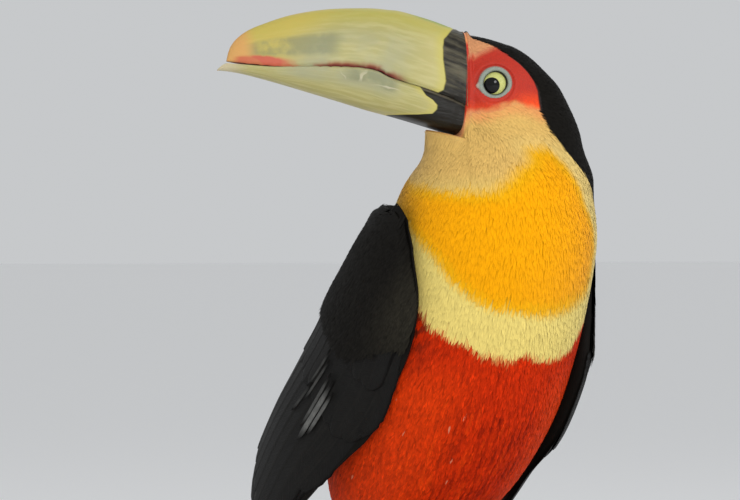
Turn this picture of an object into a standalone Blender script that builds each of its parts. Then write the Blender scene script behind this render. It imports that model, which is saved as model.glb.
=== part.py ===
"""Green-billed toucan, life size, gripping a cut perch on a plain display stand.

The trunk's plane of symmetry is X = 0 and the breast faces -Y, so the bird's right side is -X.
The head is turned to the bird's right, past its shoulder. Lengths are in metres, +Z is up, and
the origin is at the middle of the underside of the stand's base, straight below the perch.

Head, neck and trunk are one loft, parted by thin gaps. Each row of BODY is a plane section of it:
a closed curve with its own front, back and side radius round a centre.
"""

import math

import bmesh
import bpy
import numpy as np
from mathutils import Matrix, Vector

MM = 0.001
GAP = 0.3 * MM  # air left between neighbouring solids

# Stand and perch
BASE_RADIUS = 88 * MM
BASE_HEIGHT = 14 * MM
BASE_ROUNDING = 3 * MM
PERCH_RADIUS = 14 * MM
PERCH_HALF_LENGTH = 74 * MM
PERCH_TOP = 125 * MM
PERCH_Z = PERCH_TOP - PERCH_RADIUS
ROD_RADIUS = 3 * MM
ROD_X = 50 * MM
ROD_SOCKET = 8 * MM  # how far a rod goes up into the perch

# The breast's centre is the point that the body is laid out from.
BREAST = np.array([0.0, -26 * MM, PERCH_TOP + 150 * MM])
HEAD_BACK = -6 * MM  # the head's upright axis, behind (+) or before (-) the breast's centre
HEAD_TURN = 112.0  # degrees that the head is turned to the bird's right
BILL_PITCH = 11.2  # degrees that the bill points above level

# Sections of head, neck and trunk, in mm and degrees, from the crown to the root of the tail:
# height, forward shift along the head, distance behind the breast, turn, lean, front, back, side
BODY = (
    (86.0, 15.5, -6, 112, 0, 1.5, 1.5, 1.5),
    (84.2, 13.6, -6, 112, 0, 8, 7, 6.5),
    (80.6, 8.3, -6, 112, 0, 16, 11.5, 11),
    (74.2, 3.4, -6, 112, 0, 25, 14.5, 15),
    (64.9, -0.8, -6, 112, 0, 31, 18, 18),
    (53.8, -1.0, -6, 112, 0, 41, 24, 19.5),
    (44.5, -1.0, -6, 112, 0, 36.5, 28, 21.5),
    (35.5, 0.0, -4, 98, 0, 34.5, 33, 28),
    (23.3, 0.0, -1, 62, 5, 38, 41, 38),
    (6.0, 0.0, 2, 26, 14, 43, 43, 43.5),
    (-13.0, 0.0, 9, 0, 23, 45.5, 44, 45.5),
    (-37.0, 0.0, 20, 0, 29, 47, 46, 46.5),
    (-62.0, 0.0, 34, 0, 31, 47, 47, 46.5),
    (-88.0, 0.0, 51, 0, 33, 42, 47, 43.5),
    (-109.0, 0.0, 70, 0, 38, 34, 43, 39.5),
    (-124.0, 0.0, 86, 0, 44, 22, 33, 31),
    (-134.0, 0.0, 98, 0, 50, 7, 14, 15),
)
HEAD_END = 6.55  # row numbers where the loft is parted
NECK_END = 9.0
ROUND = 24  # points round a section

# Bill, in mm in its own frame: forward from the face, culmen, gape and keel heights, half width
BILL = (
    (1.0, 18.8, -14.0, -22.8, 15.2),
    (9.0, 20.2, -10.8, -22.9, 15.0),
    (21.0, 21.9, -8.5, -22.2, 14.4),
    (35.0, 22.9, -6.9, -21.6, 13.6),
    (42.0, 22.4, -5.0, -21.2, 12.9),
    (51.0, 21.1, -5.4, -20.3, 12.2),
    (67.0, 17.1, -8.2, -18.8, 10.2),
    (81.0, 11.6, -11.2, -17.6, 8.0),
    (92.0, 5.2, -12.4, -17.0, 5.6),
    (97.5, 1.2, -12.9, -17.1, 4.1),
    (101.0, -2.8, -13.1, -17.4, 2.7),
    (102.8, -6.4, -13.2, -17.7, 1.7),
    (103.4, -9.6, -13.2, -17.9, 1.1),
)
BILL_SLANT = 0.18  # the face end of the bill leans forward by this share of the height
SLANT_END = 40  # mm, from here to the tip the sections stand square
BILL_FACE = -14 * MM  # the face end of the bill, from the head's axis, against the forward axis
BILL_HEIGHT = 64.4 * MM  # the bill frame's origin above the breast's centre
LOWER_TIP = 106.4  # mm, the lower mandible is this long
GAPE_OPEN = 1.2  # mm, how far the mandibles stand apart at the tip
TIP_DROP, TIP_BEND = 3.0, 3.6  # mm, how far the lower tip's edge drops, and over what length
ROOM_FRONT = -21.8  # mm, floor of the bill's room at its front end

# Eye
EYE_RADIUS = 6.4 * MM
EYE_BACK = 6.8 * MM  # behind the face end of the bill
EYE_HEIGHT = -2.6 * MM  # above the bill frame's origin
EYE_OUT = 12.6 * MM  # from the head's middle plane

# Wings: each a patch of a cylinder that lies along the trunk. Stations along it, in mm:
# distance from the wrist, lower edge, upper edge, thickness, how far it stands off the body
WINGS = {
    "left": (
        (0, 2.5, 8.5, 5, 0),
        (8, -4.5, 20, 8, 0),
        (22, -16, 33, 11, 2),
        (35, -27, 40, 15, 5.5),
        (50, -38, 45, 20, 10.5),
        (65, -42, 49, 24, 12.5),
        (82, -43, 51, 26, 13),
        (95, -42, 51, 24, 11.5),
        (108, -41, 50, 19, 8.5),
        (125, -41, 46, 12, 6.5),
        (145, -34, 37, 6, 4),
        (165, -21, 24, 3.6, 0),
        (180, -8, 9, 2.6, -4),
    ),
    "right": (
        (0, -2, 8, 5, 0),
        (8, -12.5, 20, 8, 0.5),
        (22, -26, 33, 11, 2.5),
        (35, -32, 40, 14, 4),
        (50, -35, 45, 18, 4.8),
        (65, -35.5, 49, 20, 5),
        (82, -36, 51, 22, 5),
        (95, -35, 51, 22, 5.6),
        (108, -31, 50, 20, 6.3),
        (125, -26, 46, 14, 7.2),
        (145, -21, 38, 8, 7),
        (165, -13, 27, 4.4, 5.8),
        (180, -6, 12, 2.8, 3.2),
    ),
}
WING_RADIUS = 50 * MM
WING_LEAN = 38.0
WING_ROOT = {"left": -5 * MM, "right": -2 * MM}  # the wrist, behind the breast's centre
WING_TOP = 6 * MM  # the wrist, above the breast's centre
WING_SWING = {"left": -1.0, "right": 3.0}  # degrees that a wing's tip swings out from the tail
WING_TUCK = 14 * MM  # how far the upper edge is drawn in towards the back

# Tail
TAIL_LENGTH = 150 * MM
TAIL_LEAN = 42.0
TAIL = (  # share of the length, half width, half thickness in mm
    (0.0, 20, 11.0),
    (0.12, 22, 8.5),
    (0.3, 23, 5.5),
    (0.5, 25, 3.8),
    (0.75, 28, 3.0),
    (0.9, 28, 2.6),
    (0.97, 23, 2.0),
    (1.0, 14, 1.3),
)
TAIL_ROOT = np.array([0.0, 86 * MM, -113 * MM])

# Legs
FOOT_X = 19 * MM
SHANK_RISE = 50.0  # degrees that the shank rises towards the back
SHANK_LENGTH = 12 * MM  # what shows of it below the thigh's feathers
THIGH_LENGTH = 38 * MM
THIGH_OUT = 1 * MM  # the thigh's top lies this much further out than the foot
THIGH = ((0.0, 4.2), (0.25, 8.5), (0.6, 12.0), (1.0, 12.5))  # share of length, radius in mm
SHANK_RADIUS = 2.7 * MM
PAD = np.array([6.4, 6.0, 4.0]) * MM  # half sizes of the foot's pad, where the toes meet
TOES = (  # name, side offset at root and at tip in mm, arc length in mm, +1 forward
    ("inner_front", -2.9, -8.0, 25.0, 1),
    ("outer_front", 2.9, 5.5, 32.0, 1),
    ("inner_back", -2.8, -7.0, 18.0, -1),
    ("outer_back", 2.8, 8.0, 27.0, -1),
)
TOE_RADIUS = 2.6 * MM
TOE_START = 0.1  # radians from the perch's top to a toe's root, inside the pad
CLAW_START = 0.03  # radians from a toe's end to its claw
CLAW_LENGTH = 10 * MM

COLOURS = {  # base colour, roughness, metallic
    "black_feathers": ((0.012, 0.011, 0.012), 0.6, 0.0),
    "bib_feathers": ((0.92, 0.62, 0.16), 0.8, 0.0),
    "red_feathers": ((0.62, 0.03, 0.01), 0.7, 0.0),
    "bill_horn": ((0.55, 0.53, 0.24), 0.35, 0.0),
    "eye": ((0.02, 0.02, 0.02), 0.05, 0.0),
    "foot_skin": ((0.10, 0.12, 0.14), 0.6, 0.0),
    "claw_horn": ((0.03, 0.03, 0.03), 0.4, 0.0),
    "perch_wood": ((0.55, 0.27, 0.13), 0.8, 0.0),
    "stand_wood": ((0.06, 0.035, 0.02), 0.45, 0.0),
    "stand_steel": ((0.5, 0.5, 0.52), 0.3, 1.0),
}


# ---------------------------------------------------------------- tools


def spline(rows, at):
    """Values at the row numbers `at`, by a Catmull-Rom spline through the rows."""
    rows = np.asarray(rows, float)
    at = np.clip(np.asarray(at, float), 0, len(rows) - 1)
    start = np.minimum(at.astype(int), len(rows) - 2)
    share = (at - start)[..., None]
    before = rows[np.maximum(start - 1, 0)]
    first, second = rows[start], rows[start + 1]
    after = rows[np.minimum(start + 2, len(rows) - 1)]
    return first + 0.5 * share * (
        second - before
        + share * (2 * before - 5 * first + 4 * second - after
                   + share * (3 * (first - second) + after - before))
    )


def along(rows, at):
    """The rows' other columns at the values `at` of the first column, which rises."""
    rows = np.asarray(rows, float)
    number = np.interp(at, rows[:, 0], np.arange(len(rows)))
    return spline(rows, number)[..., 1:]


def material(name):
    """A plain material of the named colour."""
    found = bpy.data.materials.get(name)
    if found:
        return found
    colour, roughness, metallic = COLOURS[name]
    made = bpy.data.materials.new(name)
    made.use_nodes = True
    shader = made.node_tree.nodes["Principled BSDF"]
    shader.inputs["Base Color"].default_value = (*colour, 1)
    shader.inputs["Roughness"].default_value = roughness
    shader.inputs["Metallic"].default_value = metallic
    made.diffuse_color = (*colour, 1)
    return made


def collection(name):
    made = bpy.data.collections.new(name)
    bpy.context.scene.collection.children.link(made)
    return made


def put(mesh, name, group, finish=None):
    """An object for the mesh in the collection, smooth apart from sharp edges."""
    obj = bpy.data.objects.new(name, mesh)
    group.objects.link(obj)
    if finish:
        mesh.materials.append(material(finish))
    mesh.shade_smooth()
    mesh.set_sharp_from_angle(angle=math.radians(50))
    return obj


def loft(rings, name, group, finish=None):
    """A closed solid through rings of equal point count, with a flat cap at each end."""
    rings = np.asarray(rings, float)
    count, size = rings.shape[:2]
    shape = bmesh.new()
    points = [[shape.verts.new(p) for p in ring] for ring in rings]
    for low, high in zip(points, points[1:]):
        for i in range(size):
            j = (i + 1) % size
            shape.faces.new((low[i], low[j], high[j], high[i]))
    shape.faces.new(points[0][::-1])
    shape.faces.new(points[-1])
    bmesh.ops.recalc_face_normals(shape, faces=shape.faces)
    bmesh.ops.triangulate(shape, faces=[f for f in shape.faces if len(f.verts) > 4])
    mesh = bpy.data.meshes.new(name)
    shape.to_mesh(mesh)
    shape.free()
    return put(mesh, name, group, finish)


def tube(path, radii, sides, name, group, finish=None, flat=1.0):
    """A loft of round sections along a path that runs about square to the X axis."""
    path = np.asarray(path, float)
    ways = np.gradient(path, axis=0)
    ways /= np.linalg.norm(ways, axis=1)[:, None]
    side = np.array([1.0, 0.0, 0.0]) - ways[:, :1] * ways
    side /= np.linalg.norm(side, axis=1)[:, None]
    top = np.cross(side, ways)
    angle = np.linspace(0, 2 * math.pi, sides, endpoint=False)
    radii = np.asarray(radii, float)[:, None, None]
    rings = path[:, None] + radii * (
        np.cos(angle)[:, None] * side[:, None] + flat * np.sin(angle)[:, None] * top[:, None]
    )
    return loft(rings, name, group, finish)


def cut(obj, *cutters):
    for cutter in cutters:
        modifier = obj.modifiers.new(f"minus_{cutter.name}", "BOOLEAN")
        modifier.operation = "DIFFERENCE"
        modifier.object = cutter


def join(obj, *others):
    for other in others:
        modifier = obj.modifiers.new(f"plus_{other.name}", "BOOLEAN")
        modifier.operation = "UNION"
        modifier.object = other


def head_frame():
    """Matrix of the level head: x forward along the bill, y to the bird's left, z up."""
    turn = math.radians(HEAD_TURN)
    forward = Vector((-math.sin(turn), -math.cos(turn), 0))
    left = Vector((math.cos(turn), -math.sin(turn), 0))
    frame = Matrix((forward, left, Vector((0, 0, 1)))).transposed().to_4x4()
    frame.translation = Vector(BREAST) + Vector((0, HEAD_BACK, 0))
    return frame


def bill_frame():
    """Matrix of the bill: its origin is in the face, x runs forward and above level."""
    shift = Matrix.Translation((-BILL_FACE, 0, BILL_HEIGHT))
    return head_frame() @ shift @ Matrix.Rotation(-math.radians(BILL_PITCH), 4, "Y")


def moved(points, frame):
    """Points carried by a 4 x 4 frame."""
    frame = np.array(frame)
    return np.asarray(points) @ frame[:3, :3].T + frame[:3, 3]


# ---------------------------------------------------------------- body


def body_rings(numbers, grow=0.0, count=ROUND):
    """Sections of the body at these row numbers, as rings that all start over the breast."""
    row = spline(BODY, numbers)
    height, shift, behind, turn, lean, front, back, side = row.T
    turn, lean = np.radians(turn), np.radians(lean)
    head = math.radians(HEAD_TURN)
    centre = np.stack([-np.sin(head) * shift, behind - np.cos(head) * shift, height], 1) * MM
    angle = np.linspace(0, 2 * math.pi, count, endpoint=False)
    ahead = np.stack([0 * lean, -np.cos(lean), -np.sin(lean)], 1)[:, None]
    left = np.array([1.0, 0, 0])
    own = angle + turn[:, None]  # from the section's own front
    reach = np.where(np.cos(own) > 0, front[:, None], back[:, None]) * MM + grow
    across = side[:, None] * MM + grow
    radius = 1 / np.sqrt((np.cos(own) / reach) ** 2 + (np.sin(own) / across) ** 2)
    way = np.cos(angle)[:, None] * ahead + np.sin(angle)[:, None] * left
    return BREAST + centre[:, None] + radius[..., None] * way


def body_piece(numbers, name, group, finish=None, grow=0.0):
    """The body through these row numbers. Half a gap is left at a parting, unless it's grown."""
    rings = body_rings(numbers, grow)
    centres = rings.mean(1)
    for i, j in ((0, 1), (-1, -2)):
        inward = centres[j] - centres[i]
        inward /= np.linalg.norm(inward)
        if grow:
            rings[i] -= inward * grow
        elif 0 < numbers[i] < len(BODY) - 1:
            rings[i] += inward * GAP / 2
    return loft(rings, name, group, finish)


def face_cutter(group):
    """Clears the room of the bill: a block from the face forward, above the keel."""
    block = bmesh.new()
    bmesh.ops.create_cube(block, size=1.0)
    for vertex in block.verts:
        ahead, across, above = (value > 0 for value in vertex.co)
        z = 60.0 if above else (ROOM_FRONT if ahead else BILL[0][3]) - 2 * GAP / MM
        x = 110.0 if ahead else BILL[0][0] - GAP / MM + BILL_SLANT * z
        vertex.co = Vector((x, 40.0 if across else -40.0, z)) * MM
    block.transform(bill_frame())
    mesh = bpy.data.meshes.new("bill_room")
    block.to_mesh(mesh)
    block.free()
    return put(mesh, "bill_room", group)


def sphere(centre, radius, name, group, finish=None, rings=10, segments=16, scale=(1, 1, 1)):
    ball = bmesh.new()
    bmesh.ops.create_uvsphere(ball, u_segments=segments, v_segments=rings, radius=radius)
    ball.transform(Matrix.Diagonal((*scale, 1)))
    ball.transform(Matrix.Translation(centre))
    mesh = bpy.data.meshes.new(name)
    ball.to_mesh(mesh)
    ball.free()
    return put(mesh, name, group, finish)


def eye_centre(side):
    """Middle of the eyeball, side +1 for the bird's left."""
    return head_frame() @ Vector((-BILL_FACE - EYE_BACK, side * EYE_OUT, BILL_HEIGHT + EYE_HEIGHT))


# ---------------------------------------------------------------- bill


def mandible(upper, name, group, grow=0.0):
    """Loft of arched sections from the face to the tip, closed by a flat mouth side."""
    tip = BILL[-1][0] if upper else LOWER_TIP
    first = BILL[0][0] - grow
    stations = tip - (tip - first) * np.linspace(1, 0, 17) ** 1.25
    reach = np.interp(stations, (first, tip), (BILL[0][0], BILL[-1][0]))
    culmen, gape, keel, width = along(BILL, reach).T
    opening = (GAPE_OPEN - GAP / MM) * np.clip(reach / BILL[-1][0], 0, 1) ** 3
    if upper:
        root, top = gape + GAP / MM / 2, culmen
    else:
        drop = TIP_DROP * np.clip((reach - BILL[-1][0]) / TIP_BEND + 1, 0, 1) ** 2
        root, top = gape - GAP / MM / 2 - opening - drop, keel - grow
        width = width * 0.96 + grow
    angle = np.linspace(0, math.pi, 15)[None, :]
    square = np.clip(1 - reach / SLANT_END, 0, 1)[:, None]
    power = 2 / (2.3 if upper else 2.3 + 1.4 * square)
    across = np.sign(np.cos(angle)) * np.abs(np.cos(angle)) ** power
    z = root[:, None] + (top - root)[:, None] * np.sin(angle) ** power
    x = stations[:, None] + BILL_SLANT * square * z
    rings = np.stack([x, width[:, None] * across, z], -1)
    return loft(moved(rings * MM, bill_frame()), name, group, "bill_horn")


# ---------------------------------------------------------------- wings and tail


def wing(side, name, group):
    """Patch of a cylinder along the trunk, thick at the wrist and thin at the tip."""
    sign = 1 if side == "left" else -1
    stations = WINGS[side][-1][0] * np.linspace(0, 1, 17) ** 1.15
    low, high, thick, off = along(WINGS[side], stations).T
    share = np.sin(np.linspace(-1, 1, 9) * math.pi / 2)
    middle, half = (low + high) / 2, (high - low) / 2
    across = (middle[:, None] + half[:, None] * share) * MM
    radius = WING_RADIUS + off[:, None] * MM
    edge = np.sqrt(np.clip(1 - share**2, 0, 1)) * 0.85 + 0.15
    depth = thick[:, None] * MM * edge

    def at(r):
        turn = across / WING_RADIUS
        return np.stack([r * np.cos(turn), r * np.sin(turn),
                         np.broadcast_to(stations[:, None] * MM, turn.shape)], -1)

    tuck = WING_TUCK * np.clip((across / WING_RADIUS - 0.45) / 0.6, 0, 1) ** 1.5
    outer, inner = at(radius - tuck), at(radius - tuck - depth)
    rings = np.concatenate([outer, inner[:, ::-1]], 1)
    lean, swing = math.radians(WING_LEAN), math.radians(WING_SWING[side])
    # local axes: outward, towards the back, along the wing
    frame = Matrix(((1, 0, 0), (0, math.cos(lean), math.sin(lean)), (0, math.sin(lean), -math.cos(lean))))
    frame = frame @ Matrix.Rotation(swing, 3, "Y")
    frame = frame.to_4x4()
    frame.translation = Vector((0, WING_ROOT[side], WING_TOP))
    placed = moved(rings, frame)
    placed[..., 0] *= sign
    return loft(placed + BREAST, name, group, "black_feathers")


def tail(group):
    """Loft of flat oval sections, widening to a rounded end."""
    share = np.array([0, 0.08, 0.2, 0.35, 0.5, 0.65, 0.78, 0.88, 0.94, 0.975, 1.0])
    width, thick = along(TAIL, share).T
    lean = math.radians(TAIL_LEAN)
    way = np.array([0, math.sin(lean), -math.cos(lean)])
    up = np.array([0, math.cos(lean), math.sin(lean)])
    angle = np.linspace(0, 2 * math.pi, 16, endpoint=False)
    across = np.sign(np.cos(angle)) * np.abs(np.cos(angle)) ** 0.8
    camber = -0.12 * width[:, None] * across**2
    centre = BREAST + TAIL_ROOT + share[:, None] * TAIL_LENGTH * way
    rings = (
        centre[:, None]
        + (width[:, None] * across)[..., None] * MM * np.array([1.0, 0, 0])
        + (thick[:, None] * np.sin(angle) + camber)[..., None] * MM * up
    )
    return loft(rings, "tail", group, "black_feathers")


# ---------------------------------------------------------------- legs


def perch_point(angle, x, lift=0.0):
    """A point on the perch's surface, lifted off it. Angle 0 is +Y, 90 degrees is up."""
    radius = perch_radius(angle, x) + lift
    return np.stack([x + 0 * radius, radius * np.cos(angle), PERCH_Z + radius * np.sin(angle)], -1)


def perch_radius(angle, x):
    """The branch swells and flattens a little along its length, but never above its top."""
    wave = 0.03 * np.sin(2 * angle + 40 * x) + 0.025 * np.sin(3 * angle - 65 * x)
    return PERCH_RADIUS * (0.97 + wave * np.clip(np.abs(x) / FOOT_X - 1.2, 0, 1))


def toe(side, name, root, tip, length, way, group):
    """Tube that starts in the pad and bends round the perch, with a swelling at each joint."""
    share = np.linspace(0, 1, 8)
    angle = math.pi / 2 + way * (share * length * MM / (PERCH_RADIUS + TOE_RADIUS) + TOE_START)
    x = side * (FOOT_X + (root + (tip - root) * share) * MM)
    path = perch_point(angle, x, TOE_RADIUS * (0.8 - 0.12 * share))
    radii = TOE_RADIUS * (1.0 - 0.25 * share + 0.07 * np.cos(share * 4 * math.pi))
    return tube(path, radii, 6, name, group, "foot_skin")


def claw(side, name, tip, length, way, group):
    """Tapering hook that carries on from the toe's end, round the perch."""
    share = np.linspace(0, 1, 5)
    start = length * MM / (PERCH_RADIUS + TOE_RADIUS) + TOE_START + CLAW_START
    angle = math.pi / 2 + way * (start + share * CLAW_LENGTH / (PERCH_RADIUS + TOE_RADIUS))
    x = side * (FOOT_X + (tip + 0 * share) * MM)
    lift = TOE_RADIUS * (0.82 - 0.3 * share)
    path = perch_point(angle, x, lift)
    radii = TOE_RADIUS * (0.62 - 0.47 * share)
    return tube(path, radii, 6, name, group, "claw_horn")


def leg(side_name, parts, tools, trunk_room, perch_room):
    """Feathered thigh that comes out of the belly, a short shank, and four toes on the perch."""
    side = 1 if side_name == "left" else -1
    rise = math.radians(SHANK_RISE)
    sole = np.array([side * FOOT_X, 0.0, PERCH_TOP + TOE_RADIUS * 0.8])
    way = np.array([0.0, math.cos(rise), math.sin(rise)])
    ankle = sole + way * SHANK_LENGTH
    share = np.linspace(0, 1, 8)[:, None]
    spread = np.array([side * THIGH_OUT, 0.0, 0.0]) * share**2
    thigh = tube(ankle + way * (share * THIGH_LENGTH) + spread, along(THIGH, share[:, 0])[:, 0] * MM,
                 14, f"thigh_{side_name}", parts, "black_feathers")
    cut(thigh, trunk_room)

    share = np.linspace(0, 1, 5)[:, None]
    radii = SHANK_RADIUS * np.array([1.3, 1.05, 0.95, 1.0, 1.1])
    foot = tube(sole + way * (share * (SHANK_LENGTH - GAP)), radii, 8, f"foot_{side_name}", parts,
                "foot_skin")
    pad = sphere(sole, 1.0, f"pad_{side_name}", tools, rings=6, segments=12, scale=PAD)
    join(foot, pad)
    for name, root, tip, length, way in TOES:
        step = toe(side, f"toe_{side_name}_{name}", root, tip, length, way, tools)
        join(foot, step)
        claw(side, f"claw_{side_name}_{name}", tip, length, way, parts)
    cut(foot, perch_room)


# ---------------------------------------------------------------- perch and stand


def perch(group, name, grow=0.0, finish=None, rows=13, count=20):
    x = np.linspace(-1, 1, rows)[:, None] * (PERCH_HALF_LENGTH + grow)
    angle = np.linspace(0, 2 * math.pi, count, endpoint=False)[None, :]
    rings = perch_point(angle + 0 * x, x + 0 * angle, grow)
    return loft(rings, name, group, finish)


def cylinder(radius, bottom, top, x, name, group, finish=None, sides=24):
    shape = bmesh.new()
    bmesh.ops.create_cone(shape, cap_ends=True, segments=sides, radius1=radius, radius2=radius,
                          depth=top - bottom)
    shape.transform(Matrix.Translation((x, 0, (top + bottom) / 2)))
    mesh = bpy.data.meshes.new(name)
    shape.to_mesh(mesh)
    shape.free()
    return put(mesh, name, group, finish)


def stand(parts, tools, perch_solid):
    base = cylinder(BASE_RADIUS, 0, BASE_HEIGHT, 0, "stand_base", parts, "stand_wood", 48)
    rounding = base.modifiers.new("rounding", "BEVEL")
    rounding.width = BASE_ROUNDING
    rounding.segments = 2
    rounding.angle_limit = math.radians(60)
    rounding.limit_method = "ANGLE"
    foot_hole = ROD_SOCKET
    for side_name, x in (("left", ROD_X), ("right", -ROD_X)):
        low, high = BASE_HEIGHT - foot_hole, PERCH_Z - PERCH_RADIUS + ROD_SOCKET
        cylinder(ROD_RADIUS, low, high, x, f"stand_rod_{side_name}", parts, "stand_steel", 16)
        bore = cylinder(ROD_RADIUS + GAP, low - GAP, high + GAP, x, f"bore_{side_name}", tools,
                        sides=16)
        cut(base, bore)
        cut(perch_solid, bore)


# ---------------------------------------------------------------- the whole


def main():
    for obj in list(bpy.data.objects):
        bpy.data.objects.remove(obj)
    parts, tools = collection("toucan"), collection("cutters")

    head_rows = np.linspace(0, HEAD_END, 15)
    neck_rows = np.linspace(HEAD_END, NECK_END, 8)
    trunk_rows = np.linspace(NECK_END, len(BODY) - 1, 17)
    both = np.concatenate([neck_rows, trunk_rows[1:]])
    trunk_room = body_piece(both, "trunk_room", tools, grow=GAP)
    bill_room = face_cutter(tools)
    perch_room = perch(tools, "perch_room", GAP, rows=25)

    head = body_piece(head_rows, "head", parts, "bib_feathers")
    neck = body_piece(neck_rows, "neck", parts, "bib_feathers")
    body_piece(trunk_rows, "trunk", parts, "red_feathers")
    cut(head, bill_room)
    cut(neck, bill_room)
    for side_name, side in (("left", 1), ("right", -1)):
        sphere(eye_centre(side), EYE_RADIUS, f"eye_{side_name}", parts, "eye")
        cut(head, sphere(eye_centre(side), EYE_RADIUS + GAP, f"socket_{side_name}", tools))

    mandible(True, "bill_upper", parts)
    mandible(False, "bill_lower", parts)
    cut(tail(parts), trunk_room)
    for side_name in ("left", "right"):
        cut(wing(side_name, f"wing_{side_name}", parts), trunk_room)
        leg(side_name, parts, tools, trunk_room, perch_room)
    stand(parts, tools, perch(parts, "perch", finish="perch_wood"))

    for tool in tools.objects:
        tool.hide_render = True
        tool.display_type = "WIRE"


main()
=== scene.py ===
import math
from functools import partial

import bpy
import numpy as np
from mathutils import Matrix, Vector


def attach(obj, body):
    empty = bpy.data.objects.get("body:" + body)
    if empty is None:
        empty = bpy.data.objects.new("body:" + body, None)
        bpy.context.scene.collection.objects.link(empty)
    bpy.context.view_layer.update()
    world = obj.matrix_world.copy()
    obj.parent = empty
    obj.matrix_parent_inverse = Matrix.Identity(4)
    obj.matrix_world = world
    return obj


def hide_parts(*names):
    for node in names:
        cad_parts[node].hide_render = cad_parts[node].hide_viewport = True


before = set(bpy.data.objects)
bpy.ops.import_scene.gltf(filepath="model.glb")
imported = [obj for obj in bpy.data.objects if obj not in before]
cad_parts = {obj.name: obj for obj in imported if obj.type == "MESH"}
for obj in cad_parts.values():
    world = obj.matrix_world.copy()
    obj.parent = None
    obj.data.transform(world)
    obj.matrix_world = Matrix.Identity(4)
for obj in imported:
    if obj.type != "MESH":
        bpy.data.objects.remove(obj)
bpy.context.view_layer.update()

rng = np.random.default_rng(11)

# Lengths are in mm and angles in degrees unless a comment says otherwise; put() makes metres.
# The trunk faces -Y, so the bird's left is +X. Its head is turned to its right.
MM, TURN = 0.001, 2 * math.pi
PERCH_RADIUS, PERCH_HALF, PERCH_TOP = 14.0, 74.0, 125.0
PERCH_Z = PERCH_TOP - PERCH_RADIUS
BASE_RADIUS, BASE_HEIGHT = 88.0, 14.0
ROD_RADIUS, ROD_X, ROD_SOCKET = 3.0, 50.0, 8.0
BREAST = np.array([0.0, -26.0, PERCH_TOP + 150.0])
HEAD_TURN, BILL_PITCH = math.radians(112.0), math.radians(11.2)
FORWARD = np.array([-math.sin(HEAD_TURN), -math.cos(HEAD_TURN), 0.0])
LEFT = np.array([math.cos(HEAD_TURN), -math.sin(HEAD_TURN), 0.0])
UP = np.array([0.0, 0.0, 1.0])
HEAD = np.stack([FORWARD, LEFT, UP])  # rows: the head's forward, left and up
HEAD_AXIS = BREAST + (0, -6, 0)
BILL_X = math.cos(BILL_PITCH) * FORWARD + math.sin(BILL_PITCH) * UP
BILL_Z = math.cos(BILL_PITCH) * UP - math.sin(BILL_PITCH) * FORWARD
BILL_AXES = np.stack([BILL_X, LEFT, BILL_Z])
BILL_ROOT = HEAD_AXIS + 14.0 * FORWARD + 64.4 * UP
BILL_SLANT, SLANT_END, LOWER_TIP, GAPE_OPEN, TIP_DROP, TIP_BEND = 0.18, 40.0, 106.4, 1.2, 3.0, 3.6
BILL_FACE, ARCH_POWER = 5.3, 2.3  # where the face meets the bill; the power of the arch's oval
MOUTH_WIDTH = 0.86  # of the half width: how far the hollow of the mouth side reaches

# Sections of head, neck and trunk: height over the breast, shift along the head, distance
# behind, turn, lean, and the section's own front, back and side radius
BODY = np.array((
    (86.0, 15.5, -6, 112, 0, 1.5, 1.5, 1.5), (84.2, 13.6, -6, 112, 0, 8, 7, 6.5),
    (80.6, 8.3, -6, 112, 0, 16, 11.5, 11), (74.2, 3.4, -6, 112, 0, 25, 14.5, 15),
    (64.9, -0.8, -6, 112, 0, 31, 18, 18), (53.8, -1.0, -6, 112, 0, 41, 24, 19.5),
    (44.5, -1.0, -6, 112, 0, 36.5, 28, 21.5), (35.5, 0.0, -4, 98, 0, 34.5, 33, 28),
    (23.3, 0.0, -1, 62, 5, 38, 41, 38), (6.0, 0.0, 2, 26, 14, 43, 43, 43.5),
    (-13.0, 0.0, 9, 0, 23, 45.5, 44, 45.5), (-37.0, 0.0, 20, 0, 29, 47, 46, 46.5),
    (-62.0, 0.0, 34, 0, 31, 47, 47, 46.5), (-88.0, 0.0, 51, 0, 33, 42, 47, 43.5),
    (-109.0, 0.0, 70, 0, 38, 34, 43, 39.5), (-124.0, 0.0, 86, 0, 44, 22, 33, 31),
    (-134.0, 0.0, 98, 0, 50, 7, 14, 15)))
# The coat's measures by row of the table above
COAT_DEPTH = ((0, 0.6), (5.5, 0.6), (7, 0.7), (9, 0.8), (10.5, 0.9), (12, 1.2), (15, 1.3), (16, 1.1))
COAT_LENGTH = ((0, 3.4), (3, 3.8), (5, 4.6), (7, 6.5), (9, 8.5), (12, 10), (14, 12), (16, 12))
COAT_HALF = ((0, 0.34), (5, 0.38), (7, 0.45), (9, 0.52), (12, 0.66), (16, 1.0))
COAT_DENSITY = ((0, 3.0), (5, 2.4), (7, 1.6), (9, 1.15), (12, 1.0), (16, 1.1))

# Bill: forward from the face, heights of culmen, gape and keel, half width
BILL = np.array((
    (1, 18.8, -14, -22.8, 15.2), (9, 20.2, -10.8, -22.9, 15), (21, 21.9, -8.5, -22.2, 14.4),
    (35, 22.9, -6.9, -21.6, 13.6), (42, 22.4, -5, -21.2, 12.9), (51, 21.1, -5.4, -20.3, 12.2),
    (67, 17.1, -8.2, -18.8, 10.2), (81, 11.6, -11.2, -17.6, 8), (92, 5.2, -12.4, -17, 5.6),
    (97.5, 1.2, -12.9, -17.1, 4.1), (101, -2.8, -13.1, -17.4, 2.7), (102.8, -6.4, -13.2, -17.7, 1.7),
    (103.4, -9.6, -13.2, -17.9, 1.1)))

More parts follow.
